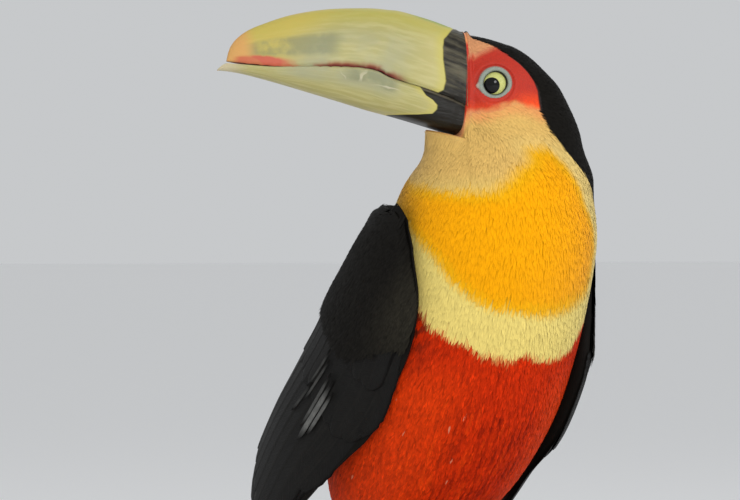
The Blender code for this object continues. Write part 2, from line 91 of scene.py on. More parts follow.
# Wings: distance from the wrist, lower edge, upper edge, thickness, how far it stands off
WINGS = {
    "left": np.array((
        (0, 2.5, 8.5, 5, 0), (8, -4.5, 20, 8, 0), (22, -16, 33, 11, 2), (35, -27, 40, 15, 5.5),
        (50, -38, 45, 20, 10.5), (65, -42, 49, 24, 12.5), (82, -43, 51, 26, 13),
        (95, -42, 51, 24, 11.5), (108, -41, 50, 19, 8.5), (125, -41, 46, 12, 6.5),
        (145, -34, 37, 6, 4), (165, -21, 24, 3.6, 0), (180, -8, 9, 2.6, -4))),
    "right": np.array((
        (0, -2, 8, 5, 0), (8, -12.5, 20, 8, 0.5), (22, -26, 33, 11, 2.5), (35, -32, 40, 14, 4),
        (50, -35, 45, 18, 4.8), (65, -35.5, 49, 20, 5), (82, -36, 51, 22, 5),
        (95, -35, 51, 22, 5.6), (108, -31, 50, 20, 6.3), (125, -26, 46, 14, 7.2),
        (145, -21, 38, 8, 7), (165, -13, 27, 4.4, 5.8), (180, -6, 12, 2.8, 3.2)))}
WING_RADIUS, WING_LEAN, WING_TOP, WING_TUCK = 50.0, math.radians(38.0), 6.0, 14.0
WING_ROOT = {"left": -5.0, "right": -2.0}
WING_SWING = {"left": math.radians(-1.0), "right": math.radians(3.0)}
SIDES = {"left": 1, "right": -1}
TUFTS = {"body": 92000, "thigh": 2600, "wing": 9500, "mantle": 5200, "tail": 6500}  # on each

# Rows of wing feathers: how many, their bow, the power by which their ends follow, and then
# pairs (at the lowest feather, more at the highest) of: start along and across the wing, end
# along and across it, half width, depth at the quill and at the tip
COVERTS = {
    "greater_coverts": (12, 0, 1, (50, -4), (-24, 62), (101, -9), (-20, 60), (6.4, 0), (2, 0), (0.6, 0)),
    "median_coverts": (13, 0, 1, (34, -4), (-20, 54), (72, -6), (-24, 64), (5.6, 0), (1.8, 0), (0.25, 0))}
SECONDARIES = (10, 2, 1.3, (60, 0), (-20, 56), (171, -34), (-7, 43), (7.6, 0.6), (2, -0.4), (1, -0.5))
PRIMARIES = {
    "left": (8, -2, 1, (62, 0), (-35, 16), (138, 41), (-37, 32), (5.8, 0.8), (2.4, -0.2), (1.9, -0.9)),
    "right": (8, -2, 1, (62, 0), (-27, 8), (138, 41), (-16, 18), (5.8, 0.8), (2.4, -0.2), (1.9, -0.9))}
PRIMARY_COVERTS = {
    "left": (4, -2, 1, (44, 4), (-32, -4), (92, 10), (-39, 6), (5, 0), (2.2, 0), (1.1, -0.2)),
    "right": (4, -2, 1, (44, 4), (-24, -4), (92, 10), (-31, 6), (5, 0), (2.2, 0), (1.1, -0.2))}
# Painted highlights, silvery streaks of light along a few wing feathers' edges: start along and across the
# wing, length and rise, half width, strength
PAINTED_HIGHLIGHT_EDGES = np.array((
    (80, -6.3, 32, 2, 0.7, 0.6), (86, -11.5, 26, 2.5, 0.8, 0.9), (82, -9, 36, 3, 1.2, 1.0),
    (76, -2.5, 26, 3.5, 0.6, 0.45), (92, 1, 20, 4, 0.6, 0.3), (72, -0.5, 24, 3.5, 0.5, 0.4)))
PAINTED_HIGHLIGHT_COUNT = {"left": 3, "right": 6}

# Tail: share of the length, half width, half thickness
TAIL = np.array(((0, 20, 11), (.12, 22, 8.5), (.3, 23, 5.5), (.5, 25, 3.8), (.75, 28, 3),
                 (.9, 28, 2.6), (.97, 23, 2), (1, 14, 1.3)))
TAIL_LENGTH, TAIL_LEAN, TAIL_ROOT = 150.0, math.radians(42.0), BREAST + (0, 86, -113)
TAIL_WAY = np.array([0, math.sin(TAIL_LEAN), -math.cos(TAIL_LEAN)])
TAIL_UP = np.array([0, math.cos(TAIL_LEAN), math.sin(TAIL_LEAN)])
RUMP_SHARE, COVERT_SHARE = -0.12, 0.4  # where the tail's soft root starts and ends

# Legs: share of the length and radius, as a share of SHANK_RADIUS on the shank
FOOT_X, SHANK_RISE, SHANK_LENGTH, THIGH_LENGTH = 19.0, math.radians(50.0), 12.0, 38.0
THIGH = np.array(((0, 4.2), (.25, 8.5), (.6, 12), (1, 12.5)))
SHANK = np.array(((0, 1.3), (.25, 1.05), (.5, .95), (.75, 1.0), (1.25, 1.1)))
LEG_WAY = np.array([0, math.cos(SHANK_RISE), math.sin(SHANK_RISE)])
LEG_TOP = np.array([0, -math.sin(SHANK_RISE), math.cos(SHANK_RISE)])
SHANK_RADIUS, TOE_RADIUS, TOE_START, CLAW_START, CLAW_LENGTH = 2.7, 2.6, 0.1, 0.03, 10.0
SOLE_Z, TOE_TURN = PERCH_TOP + TOE_RADIUS * 0.8, PERCH_RADIUS + TOE_RADIUS
PAD = np.array([6.4, 6.0, 4.0])
TOES = {  # side offset at root and tip, arc length, +1 forward
    "inner_front": (-2.9, -8.0, 25.0, 1), "outer_front": (2.9, 5.5, 32.0, 1),
    "inner_back": (-2.8, -7.0, 18.0, -1), "outer_back": (2.8, 8.0, 27.0, -1)}
SHANK_PLATE, TOE_PLATE = 2.2, 1.9  # lengths of the skin's plates
TOE_PAD = 1.1  # the toes' pads swell by the sine of the distance over this
KNOTS = ((-48, 2.4), (41, 0.7), (60, 4.0), (-5, 5.2))  # along the perch, and round it in radians

# Markings. Heights are over the breast's centre; angles go round the body from the breast
# towards the bird's left, and the bib's own angles from the bib's middle line.
BIB_MIDDLE = ((-50, -10), (8, -38), (20, -55), (30, -75), (45, -112), (90, -112))
BIB_HALF = ((-140, 88), (-50, 86), (8, 94), (14, 99), (22, 100), (28, 102), (35, 109), (40, 115), (50, 121))
CROWN = (  # height, how far forward the black of the crown and nape comes
    (35, -19.3), (40.4, -15.8), (44.1, -13.3), (49.9, -11.3), (55.2, -10.4), (59.6, -10.2),
    (63.7, -8.6), (67.5, -6.3), (71.7, -3), (76, 0.9), (79.4, 5.3), (81.8, 9.4),
    (83.6, 14), (85, 18.5), (86, 26), (90, 60))
ORANGE = (  # outline of the orange patch: angle from the bib's middle, height
    (-45, 21), (-24, 19), (-9, 17), (5, 17), (17, 18), (33, 22), (49, 27), (76, 35), (95, 36),
    (88, 30), (82, 24), (78, 18), (75, 11), (74, 6), (76, 2), (75, -4), (69, -15.5), (62, -24),
    (50, -28), (38, -31), (26, -33), (14, -33), (3, -32), (-7, -31), (-13, -28), (-19, -25),
    (-26, -20), (-30, -15), (-37, -8), (-45, -2), (-51, 3), (-60, 7), (-68, 12), (-75, 22),
    (-84, 30), (-97, 38), (-78, 34), (-58, 27))
BELLY_TOP = (  # angle round the body, height where cream turns to red
    (-95, -12), (-78, -22), (-64, -32), (-58, -38), (-50, -41), (-41, -44), (-34, -47),
    (-28, -50), (-21, -51), (-11, -52.5), (-4, -50), (2, -52), (11, -53), (24, -51), (34, -47),
    (41, -42), (58, -32), (80, -15))
FACE = (  # outline of the bare red face, forward and up from the head's axis
    (8.9, 80.6), (13.5, 78.6), (18.5, 74.6), (24, 70), (24, 53), (14, 51), (5.4, 53.9), (0, 55),
    (-6.8, 54), (-12, 52), (-14, 56), (-12, 66), (-2, 76), (6, 81))
BLACK_TOP = (  # on the bill: height, how far forward the black wedge of the upper half comes
    (-12, 17.5), (-9, 15.8), (-7.5, 14.2), (-3.5, 13.8), (0, 14.7), (5, 16.4), (10, 17.3),
    (14, 17.2), (19, 14), (23, 11))
BLACK_LOW = (  # the same for the lower half
    (-24, 50), (-22.2, 36.5), (-21.1, 29.5), (-19.4, 21.5), (-18.2, 16.5), (-16, 15),
    (-14.2, 15.2), (-12.5, 17.3), (-11.2, 20.5), (-8.3, 23.5), (-5, 27))
EYE_RADIUS, EYE_PLACE, EYE_GAZE = 6.4, np.array([7.2, 12.5, 62.6]), np.array([0.16, 0.987, 0.0])


def srgb(red, green, blue):
    """Linear colour of display values from 0 to 255."""
    value = np.array([red, green, blue]) / 255
    return np.where(value < 0.04045, value / 12.92, ((value + 0.055) / 1.055) ** 2.4)


ORANGE_RIPE, ORANGE_EDGE = srgb(255, 172, 0), srgb(244, 180, 10)
CREAM_LOW, CREAM_HIGH, CREAM_PALE = srgb(240, 216, 122), srgb(226, 184, 104), srgb(236, 208, 128)
BELLY_RED, BELLY_DEEP, BELLY_BRIGHT = srgb(206, 46, 6), srgb(136, 26, 6), srgb(236, 68, 10)
FACE_RED, FACE_WARM = srgb(196, 52, 34), srgb(238, 72, 26)
FLESH, PEACH, BLACK = srgb(222, 150, 108), srgb(236, 150, 92), srgb(23, 21, 18)
LID_BLUE, LID_DARK = srgb(150, 160, 148), srgb(70, 76, 72)


# ---------------------------------------------------------------- numbers and shapes


def spline(rows, at):
    """Values at the row numbers `at`, by a Catmull-Rom spline through the rows."""
    at = np.clip(np.asarray(at, float), 0, len(rows) - 1)
    start = np.minimum(at.astype(int), len(rows) - 2)
    share = (at - start)[..., None]
    before, first, second = rows[np.maximum(start - 1, 0)], rows[start], rows[start + 1]
    after = rows[np.minimum(start + 2, len(rows) - 1)]
    return first + 0.5 * share * (second - before + share * (
        2 * before - 5 * first + 4 * second - after + share * (3 * (first - second) + after - before)))


def along(rows, at):
    """The rows' other columns at the values `at` of the first column, which rises."""
    return spline(rows, np.interp(at, rows[:, 0], np.arange(len(rows))))[..., 1:]


def table(pairs, at):
    """Straight lines through pairs of numbers."""
    return np.interp(at, *np.array(pairs, float).T)


def ease(value, low, high):
    """0 below low, 1 above high, and a smooth step between."""
    share = np.clip((value - low) / (high - low), 0, 1)
    return share * share * (3 - 2 * share)


def mix(first, *coats):
    """The first colour under coats (colour, share per point), each mixed over the last."""
    for colour, share in coats:
        first = first + (np.asarray(colour) - first) * np.asarray(share)[..., None]
    return first


def dot(first, second):
    """Sum of the products of the coordinates."""
    return (first * second).sum(-1)


def unit(vectors):
    """Vectors divided by their length."""
    return vectors / (np.linalg.norm(vectors, axis=-1, keepdims=True) + 1e-12)


def apart(values):
    """The numbers on the last axis, as one array each."""
    return np.moveaxis(values, -1, 0)


def turns(count):
    """Angles evenly round a circle, from 0."""
    return np.linspace(0, TURN, count, endpoint=False)


def crossed(down, across):
    """Two rows of numbers made a grid: the first runs down it, the second across it."""
    return np.broadcast_arrays(down[:, None], across[None, :])


def about(radius, angle, height):
    """Points (radius cos, radius sin, height) round the Z axis."""
    return np.stack([radius * np.cos(angle), radius * np.sin(angle), height + 0 * angle], -1)


def ripple(points, size, seed=0):
    """Smooth wobble between about -1 and 1: products of sines along skewed directions."""
    turn = np.random.default_rng(seed).normal(size=(3, 3, 3)) * 2.2 / size
    wave = np.sin(points @ turn[0] + 1.0) * np.sin(points @ turn[1] + 2.0)
    return (wave + np.sin(points @ turn[2])).sum(-1) / 3


def within(x, y, outline, scale=1.0):
    """Distance inside a closed outline, negative outside it; x is stretched by scale."""
    start = np.array(outline, float) * (scale, 1)
    step = np.roll(start, -1, 0) - start
    point = np.stack([x * scale, y], -1)[..., None, :]
    share = np.clip(dot(point - start, step) / dot(step, step), 0, 1)
    gap = np.linalg.norm(point - start - share[..., None] * step, axis=-1).min(-1)
    level = (start[:, 1] > point[..., 1]) != (start[:, 1] + step[:, 1] > point[..., 1])
    rise = np.where(step[:, 1] == 0, 1, step[:, 1])
    cross = level & (point[..., 0] < start[:, 0] + step[:, 0] * (point[..., 1] - start[:, 1]) / rise)
    return np.where(cross.sum(-1) % 2 == 1, gap, -gap)


def grid(rows, columns, wrap_rows=False):
    """Four-sided faces between the points of a grid, closed round across it."""
    i = np.arange(rows if wrap_rows else rows - 1)[:, None]
    j = np.arange(columns)[None, :]
    down, right = (i + 1) % rows, (j + 1) % columns
    corners = [i * columns + j, i * columns + right, down * columns + right, down * columns + j]
    return np.stack(np.broadcast_arrays(*corners), -1).reshape(-1, 4)


def shells(rings, poles=None):
    """Points and faces of closed shells from rings of points (shells, rings, points, 3), with a
    pole at each end: by default the middle of the end ring."""
    rings = np.asarray(rings)
    if rings.ndim == 3:
        rings = rings[None]
    count, rows, columns = rings.shape[:3]
    if poles is None:
        poles = rings[:, [0, -1]].mean(2)
    points = np.concatenate([rings.reshape(count, -1, 3), poles], 1)
    i = np.arange(columns)
    after, last, first_pole = (i + 1) % columns, (rows - 1) * columns, rows * columns
    fans = np.concatenate([np.stack([after, i, 0 * i + first_pole], -1),
                           np.stack([last + i, last + after, 0 * i + first_pole + 1], -1)])
    start = np.arange(count)[:, None, None] * (rows * columns + 2)
    faces = [(grid(rows, columns) + start).reshape(-1, 4), (fans + start).reshape(-1, 3)]
    return points.reshape(-1, 3), faces


def outward(points, faces):
    """The faces, all turned round if the volume they close is negative."""
    volume = 0.0
    for group in faces:
        for k in range(2, group.shape[1]):
            volume += dot(points[group[:, 0]], np.cross(points[group[:, k - 1]], points[group[:, k]])).sum()
    return [group[:, ::-1] for group in faces] if volume < 0 else faces


def joined(parts):
    """One mesh of several shells, given by their rings, with each one's faces turned outwards."""
    points, faces, start = [], [], 0
    for rings in parts:
        more, groups = shells(rings)
        faces += [group + start for group in outward(more, groups)]
        points.append(more)
        start += len(more)
    return np.concatenate(points), faces


def put(name, shell, finish, *replaced, slot=None, uv=None, soft=None, **values):
    """A smooth piece from points in mm and their faces, which are turned outwards.

    finish names its material, replaced the solids it stands for. values are numbers
    (points,) or vectors (points, 3), or one vector for all, kept as attributes; uv is per
    point; soft is the normal per point that the faces shade with.
    """
    points, faces = shell
    faces = outward(points, faces)
    corners = np.concatenate([group.ravel() for group in faces]).astype(np.int32)
    sizes = np.concatenate([[0], *(np.full(len(group), group.shape[1]) for group in faces)])
    mesh = bpy.data.meshes.new(name)
    mesh.vertices.add(len(points))
    mesh.vertices.foreach_set("co", (points * MM).ravel())
    mesh.loops.add(len(corners))
    mesh.loops.foreach_set("vertex_index", corners)
    mesh.polygons.add(len(sizes) - 1)
    mesh.polygons.foreach_set("loop_start", np.cumsum(sizes)[:-1].astype(np.int32))
    mesh.update(calc_edges=True)
    mesh.shade_smooth()
    if soft is not None:
        values["custom_normal"] = soft
    for key, value in values.items():
        value = np.asarray(value, np.float32)
        if value.shape == (3,):
            value = np.broadcast_to(value, points.shape)
        kind, entry = ("FLOAT", "value") if value.size == len(points) else ("FLOAT_VECTOR", "vector")
        mesh.attributes.new(key, kind, "POINT").data.foreach_set(entry, value.ravel())
    if uv is not None:
        mesh.uv_layers.new(name="OFBake").data.foreach_set("uv", uv.reshape(-1, 2)[corners].ravel())
    material, own_slot = FINISH[finish]
    mesh.materials.append(material)
    piece = bpy.data.objects.new(name, mesh)
    bpy.context.scene.collection.objects.link(piece)
    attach(piece, "root")
    if replaced:
        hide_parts(*replaced)


def framed(surface, a, b, step=0.01):
    """Point, unit normal and both slopes of a surface, from small steps of its two numbers."""
    point = surface(a, b)
    by_a, by_b = (surface(a + step, b) - point) / step, (surface(a, b + step) - point) / step
    return point, unit(np.cross(by_a, by_b)), by_a, by_b


# ---------------------------------------------------------------- finishes


class Socket:
    """A value in a material, with the usual operators for its maths."""

    def __init__(self, shader, output):
        self.shader, self.output = shader, output

    def maths(self, operation, *values):
        """The operation on the values, or on this value alone."""
        return self.shader.node("Math", dict(enumerate(values or (self,))), operation=operation)

    def __add__(self, other):
        return self.maths("ADD", self, other)

    def __sub__(self, other):
        return self.maths("SUBTRACT", self, other)

    def __rsub__(self, other):
        return self.maths("SUBTRACT", other, self)

    def __mul__(self, other):
        return self.maths("MULTIPLY", self, other)

    __radd__, __rmul__ = __add__, __mul__

    def ease(self, low, high):
        """0 at low, 1 at high and a smooth step between."""
        return self.shader.node("MapRange", {"Value": self, "From Min": low, "From Max": high},
                                interpolation_type="SMOOTHSTEP")

    def between(self, low, rising, falling, high):
        """Smooth steps from 0 at low to 1 at rising, and from 1 at falling to 0 at high."""
        return self.ease(low, rising) * self.ease(high, falling)

    def curve(self, pairs):
        """Straight lines through pairs (value in, value out), by a ramp of greys."""
        (low, high), top = (pairs[0][0], pairs[-1][0]), max(out for _, out in pairs)
        share = (self - low) * (1 / (high - low))
        stops = [((at - low) / (high - low), (out / top,) * 3) for at, out in pairs]
        return self.shader.ramp(share, stops) * top


class Shader:
    """A material with a Principled surface; constants are set on its own sockets."""

    def __init__(self, name, **constants):
        self.material = bpy.data.materials.new(name)
        self.material.use_nodes = True
        self.tree = self.material.node_tree
        self.surface = self.tree.nodes["Principled BSDF"]
        for key, value in constants.items():
            self.feed(self.surface.inputs[key.replace("_", " ")], value)

    def feed(self, socket, value):
        """A link where the value is a Socket, and otherwise the socket's own number or colour."""
        if isinstance(value, Socket):
            self.tree.links.new(value.output, socket)
        else:
            socket.default_value = (*value, 1) if socket.type == "RGBA" else value

    def node(self, kind, inputs=None, output=0, **settings):
        """Output of a new node of this kind, with its settings and then its sockets."""
        made = self.tree.nodes.new("ShaderNode" + kind)
        for key, value in settings.items():
            setattr(made, key, value)
        for key, value in (inputs or {}).items():
            self.feed(made.inputs[key], value)
        return Socket(self, made.outputs[output])

    def ramp(self, value, stops):
        """Colours by straight lines between stops (place, colour)."""
        made = self.node("ValToRGB", {"Fac": value})
        elements = made.output.node.color_ramp.elements
        while len(elements) < len(stops):
            elements.new(0.5)
        for element, (place, colour) in zip(elements, stops):
            element.position, element.color = place, (*colour, 1)
        return made

    def mix(self, first, second, share):
        """first + (second - first) share."""
        return self.node("Mix", {0: share, 6: first, 7: second}, 2, data_type="RGBA")

    def coats(self, colour, *coats):
        """The colour under coats (colour, share), each mixed over the last. A colour of plain
        numbers is in display values."""
        for coat, share in coats:
            colour = self.mix(colour, srgb(*coat) if isinstance(coat, tuple) else coat, share)
        return colour

    def noise(self, scale, detail=3.0, place=None, stretch=None):
        """Noise over the object's own coordinates or another vector."""
        place = place or self.node("TexCoord", output="Object")
        if stretch:
            place = self.node("VectorMath", {0: place, 1: stretch}, operation="MULTIPLY")
        return self.node("TexNoise", {"Vector": place, "Scale": scale, "Detail": detail}, "Fac")

    def attribute(self, name, output="Vector"):
        """A vector, colour or number (Fac) kept with the points."""
        return self.node("Attribute", output=output, attribute_name=name)

    def join(self, *values):
        """A vector of up to three values."""
        return self.node("CombineXYZ", dict(enumerate(values)))

    def split(self, vector):
        """The three values of a vector."""
        made = self.node("SeparateXYZ", {0: vector}).output.node
        return [Socket(self, output) for output in made.outputs]

    def away(self, x, y):
        """Distance, the root of x squared plus y squared."""
        return self.node("VectorMath", {0: self.join(x, y)}, "Value", operation="LENGTH")

    def finish(self, **inputs):
        """Feeds the surface; bump is a height in metres."""
        bump = inputs.pop("bump", None)
        if bump is not None:
            inputs["Normal"] = self.node("Bump", {"Height": bump, "Distance": 1.0, "Strength": 1.0})
        for key, value in inputs.items():
            self.feed(self.surface.inputs[key.replace("_", " ")], value)
        return self.material


def plumage(name, rough, sheen, grain):
    """Colour from the tint of each tuft with a little noise, and a fine grain on the roughness."""
    shader = Shader(name, Sheen_Weight=sheen, Sheen_Roughness=0.5, Specular_IOR_Level=0.06)
    mottle = shader.noise(420.0, 2.0)
    colour = shader.mix(shader.attribute("tint", "Color"), (0, 0, 0), (mottle - 0.45) * grain)
    return shader.finish(Base_Color=colour, Roughness=mottle * 0.2 + (rough - 0.1))


def flight_feathers():
    """Black with a faint sheen. Fine barbs run out from the shaft as relief, with a few splits."""
    shader = Shader("flight_feathers", Specular_IOR_Level=0.16)
    across, reach, number = shader.split(shader.attribute("barb"))
    lean = across.maths("ABSOLUTE") * 0.12
    barbs = shader.noise(3.0, 3.0, shader.join((reach - lean) * 60.0, number * 3.0, across * 0.6))
    colour = shader.mix(shader.attribute("tint", "Color"), (0, 0, 0),
                        shader.noise(300.0, 2.0) * 0.5 + barbs * 0.4)
    return shader.finish(Base_Color=colour, Roughness=0.45 + barbs * 0.25, bump=barbs * 0.0003)


def bare_skin():
    """The skin's own markings, a little damp, with fine pimples as relief."""
    shader = Shader("bare_skin", Subsurface_Weight=0.08, Subsurface_Scale=0.001, Specular_IOR_Level=0.2)
    place = shader.node("TexCoord", output="Object")
    cells = shader.node("TexVoronoi", {"Vector": place, "Scale": 1500.0}, "Distance")
    colour = shader.mix(shader.attribute("tint", "Color"), (0.05, 0.01, 0.01), cells * 0.25)
    return shader.finish(Base_Color=colour, Roughness=0.55 - cells * 0.1, bump=cells * -0.00008)


def bill_horn():
    """Olive and yellow horn from its place on the bill: x forward, z up, and band, 0 at the cutting
    edge and 1 at the ridge or keel. Smooth steps of these are the shares of the coats: a yellow
    ridge and tip, grey smudges in the middle, a red broken cutting edge and the black base."""
    shader = Shader("bill_horn", Specular_IOR_Level=0.3, Subsurface_Weight=0.05, Subsurface_Scale=0.001)
    x, z, band = shader.split(shader.attribute("place"))
    upper = shader.attribute("upper", "Fac")
    lower = 1 - upper
    spot, cloud = shader.noise(130.0, 4.0), shader.noise(45.0, 3.0)
    streak = shader.noise(60.0, 4.0, shader.join(x * 0.0012, band * 0.25, upper * 0.4))
    wrinkle = shader.noise(1.0, 4.0, shader.join(x * 0.09, z * 0.5))
    smudge = (upper * x.between(56, 64, 92, 100) * band.between(0.14, 0.26, 0.48, 0.62)
              + lower * x.between(31, 36, 50, 58) * band.between(0.02, 0.08, 0.3, 0.45))
    edge = (x.ease(66, 94) * 0.13 + 0.07 - band).ease(-0.05, 0.05) * x.between(28, 36, 98, 102)
    broken = shader.noise(75.0, 2.0).ease(0.38, 0.5) + x.ease(80, 87)
    lip = shader.mix(srgb(148, 60, 42), srgb(206, 100, 74), x.ease(60, 84))
    scrape = (shader.noise(70.0, 2.0) - 0.52).maths("ABSOLUTE").ease(0.014, 0.004)
    front = shader.node("Mix", {0: upper, 2: z.curve(BLACK_LOW), 3: z.curve(BLACK_TOP)})
    inside = front - x + (spot * 1.2 - 0.6)
    black = inside.ease(-0.4, 0.4)
    # Black of the base with a painted sheen: grey streaks and patches stand for light on the horn, strong on
    # the upper half and faint on the lower
    dark = shader.mix(srgb(22, 18, 10), srgb(100, 94, 74),
                      (streak * 0.5 + cloud * 0.5).ease(0.4, 0.62) * (0.06 + upper * 0.8))
    rim = (x - z * BILL_SLANT).ease(BILL_FACE, BILL_FACE - 0.4)
    colour = shader.coats(
        shader.mix(srgb(180, 172, 108), srgb(194, 186, 128), streak.ease(0.4, 0.65)),
        ((208, 196, 130), (x + z * -0.3).ease(32, 10) * 0.7),
        ((170, 168, 130), x.between(22, 42, 70, 92) * band.ease(0.75, 0.35) * cloud.ease(0.3, 0.6)),
        ((190, 180, 84), band.ease(0.62, 0.95) * 0.8 * upper),
        ((204, 184, 88), (x + band * 12).ease(66, 92) * 0.85 * upper),
        ((130, 134, 100), smudge * spot.ease(0.28, 0.56) * 0.65),
        ((120, 150, 40), band.ease(0.93, 0.99) * x.ease(36, 24) * 0.8 * upper),
        ((226, 168, 100), (x - z * 0.35).ease(93, 101) * 0.9 * upper),
        ((214, 200, 168), x.ease(92, 104) * 0.8 * lower),
        (lip, edge * broken * upper * 0.85),
        ((220, 210, 180), scrape * cloud.ease(0.45, 0.55) * band.ease(0.42, 0.25)
         * x.between(28, 34, 52, 60) * 0.6),
        ((110, 32, 26), band.ease(0.06, 0.0) * x.between(26, 40, 60, 70) * upper),
        ((0, 0, 0), 0.08),
        ((200, 188, 84), inside.ease(-5.0, -0.6) * 0.5),
        (dark, black),
        # Painted highlight: a pale grey line along the top of the lower half's black, by the cutting edge
        ((112, 104, 88), black * lower * band.ease(0.09, 0.04) * x.ease(28, 20) * 0.7),
        (shader.mix(FACE_RED, PEACH, z.ease(-3, -7) + z.ease(13, 16)), rim))
    return shader.finish(Base_Color=colour, Roughness=0.34 + streak * 0.2,
                         bump=streak * 0.00018 + wrinkle * black * 0.0007 + spot * 0.00005)


def eye_glass():
    """Round pupil set towards the bill in a pale iris, dark outside it, under a wet gloss."""
    shader = Shader("eye_glass", Roughness=0.4, Specular_IOR_Level=0.0, Coat_Weight=0.5, Coat_Roughness=0.03)
    x, y, _ = shader.split(shader.attribute("place"))
    iris = shader.mix(srgb(214, 214, 136), srgb(176, 180, 96), shader.noise(900.0, 2.0))
    pupil = shader.away(x - 1.5, y + 0.95).ease(3.43, 3.27)
    # Dark outside the iris: partly the eye's dark rim, partly painted shade under the upper lid
    colour = shader.mix(srgb(78, 76, 56), iris, shader.away(x - 0.25, y).ease(4.68, 4.52))
    return shader.finish(Base_Color=shader.mix(colour, (0.004, 0.004, 0.004), pupil))


def claw_horn():
    """Dark horn with light mottling, which is its relief too."""
    shader = Shader("claw_horn")
    spot = shader.noise(300.0, 5.0)
    return shader.finish(Base_Color=shader.mix(srgb(46, 43, 42), srgb(24, 22, 22), spot.ease(0.35, 0.65)),
                         Roughness=0.3 + spot * 0.15, bump=spot * 0.00005)


def foot_skin():
    """Grey-blue foot skin: plates parted by fine dark seams, which the attribute scute counts from
    0 to 1 within each plate, over faint mottling."""
    shader = Shader("foot_skin")
    phase, spot = shader.attribute("scute", "Fac"), shader.noise(420.0, 4.0)
    seam = phase.ease(0.2, 0.02) + phase.ease(0.84, 0.98)
    colour = shader.coats(srgb(116, 128, 126), ((86, 98, 102), spot.ease(0.35, 0.65) * 0.8),
                          ((44, 50, 54), seam * 0.7))
    return shader.finish(Base_Color=colour, Roughness=0.42 + spot * 0.2,
                         bump=seam * -0.00012 + spot * 0.00008)


def peeled_wood():
    """Bare branch: warm wood with lengthwise grain, darker in the hollows. Its cut ends have rings,
    a sine of the distance from the pith, which lies a little off the middle."""
    shader = Shader("peeled_wood")
    x, y, z = shader.split(shader.node("TexCoord", output="Object"))
    grain, cloud = shader.noise(160.0, 6.0, stretch=(0.12, 1, 1)), shader.noise(28.0, 3.0)
    side = shader.coats(srgb(214, 148, 98), ((168, 104, 64), grain.ease(0.35, 0.7)),
                        ((226, 172, 128), cloud.ease(0.5, 0.7) * 0.6),
                        ((96, 58, 38), shader.attribute("hollow", "Fac")))
    rings = (shader.away(y - 0.0006, z - PERCH_Z * MM) * 5200.0 + cloud * 5.0).maths("SINE")
    end = shader.mix(srgb(222, 178, 128), srgb(176, 124, 80), rings.ease(-0.2, 0.9))
    cut = x.maths("ABSOLUTE").ease((PERCH_HALF - 1.0) * MM, (PERCH_HALF - 0.6) * MM)
    return shader.finish(Base_Color=shader.mix(side, end, cut), Roughness=0.62 + grain * 0.25,
                         bump=grain * 0.0005)


def stained_wood():
    """Dark wood whose grain is noise drawn out along Y, under a thin varnish."""
    shader = Shader("stained_wood", Coat_Weight=0.3, Coat_Roughness=0.2)
    grain = shader.noise(70.0, 6.0, stretch=(1, 0.08, 1))
    colour = shader.mix(srgb(62, 40, 27), srgb(96, 64, 42), grain.ease(0.35, 0.7))
    return shader.finish(Base_Color=colour, Roughness=0.35 + grain * 0.2, bump=grain * 0.0001)


def brushed_steel():
    """Grey steel; noise drawn out along Z, as brushed upwards, varies its grey and roughness."""
    shader = Shader("brushed_steel", Metallic=1.0)
    brush = shader.noise(900.0, 4.0, stretch=(1, 1, 0.03))
    return shader.finish(Base_Color=shader.mix((0.42, 0.42, 0.43), (0.6, 0.6, 0.61), brush),
                         Roughness=0.25 + brush * 0.2)


FINISH = {  # material and slot of each finish
    "skin": (bare_skin(), "bib_feathers"), "bib": (plumage("bib_plumage", 0.8, 0.1, 0.15), "bib_feathers"),
    "red": (plumage("red_plumage", 0.75, 0.0, 0.6), "red_feathers"),
    "black": (plumage("black_plumage", 0.6, 0.0, 0.6), "black_feathers"),
    "vane": (flight_feathers(), "black_feathers"), "bill": (bill_horn(), "bill_horn"),
    "eye": (eye_glass(), "eye"), "foot": (foot_skin(), "foot_skin"), "claw": (claw_horn(), "claw_horn"),
    "perch": (peeled_wood(), "perch_wood"), "base": (stained_wood(), "stand_wood"),
    "steel": (brushed_steel(), "stand_steel")}


# ---------------------------------------------------------------- body


def body(row, angle):
    """Centre of the row's section plus its radius times (cos ahead + sin left), where the radius
    is an oval's with its own front, back and side, turned by the row's turn. Angle in radians."""
    height, shift, behind, turn, lean, front, back, side = apart(spline(BODY, row))
    own, lean = angle + np.radians(turn), np.radians(lean)
    reach = np.where(np.cos(own) > 0, front, back)
    radius = 1 / np.sqrt((np.cos(own) / reach) ** 2 + (np.sin(own) / side) ** 2)
    out = np.stack([np.sin(angle), -np.cos(lean) * np.cos(angle), -np.sin(lean) * np.cos(angle)], -1)
    centre = BREAST + np.stack([0 * shift, behind, height], -1) + shift[..., None] * FORWARD
    return centre + radius[..., None] * out


def in_head(points):
    """Distances forward, left and up of the head's axis: products with the head's three axes."""
    return apart((points - HEAD_AXIS) @ HEAD.T)


def in_bill(points):
    """Distances forward, left and up of the bill's root, along the bill's own axes."""
    return apart((points - BILL_ROOT) @ BILL_AXES.T)


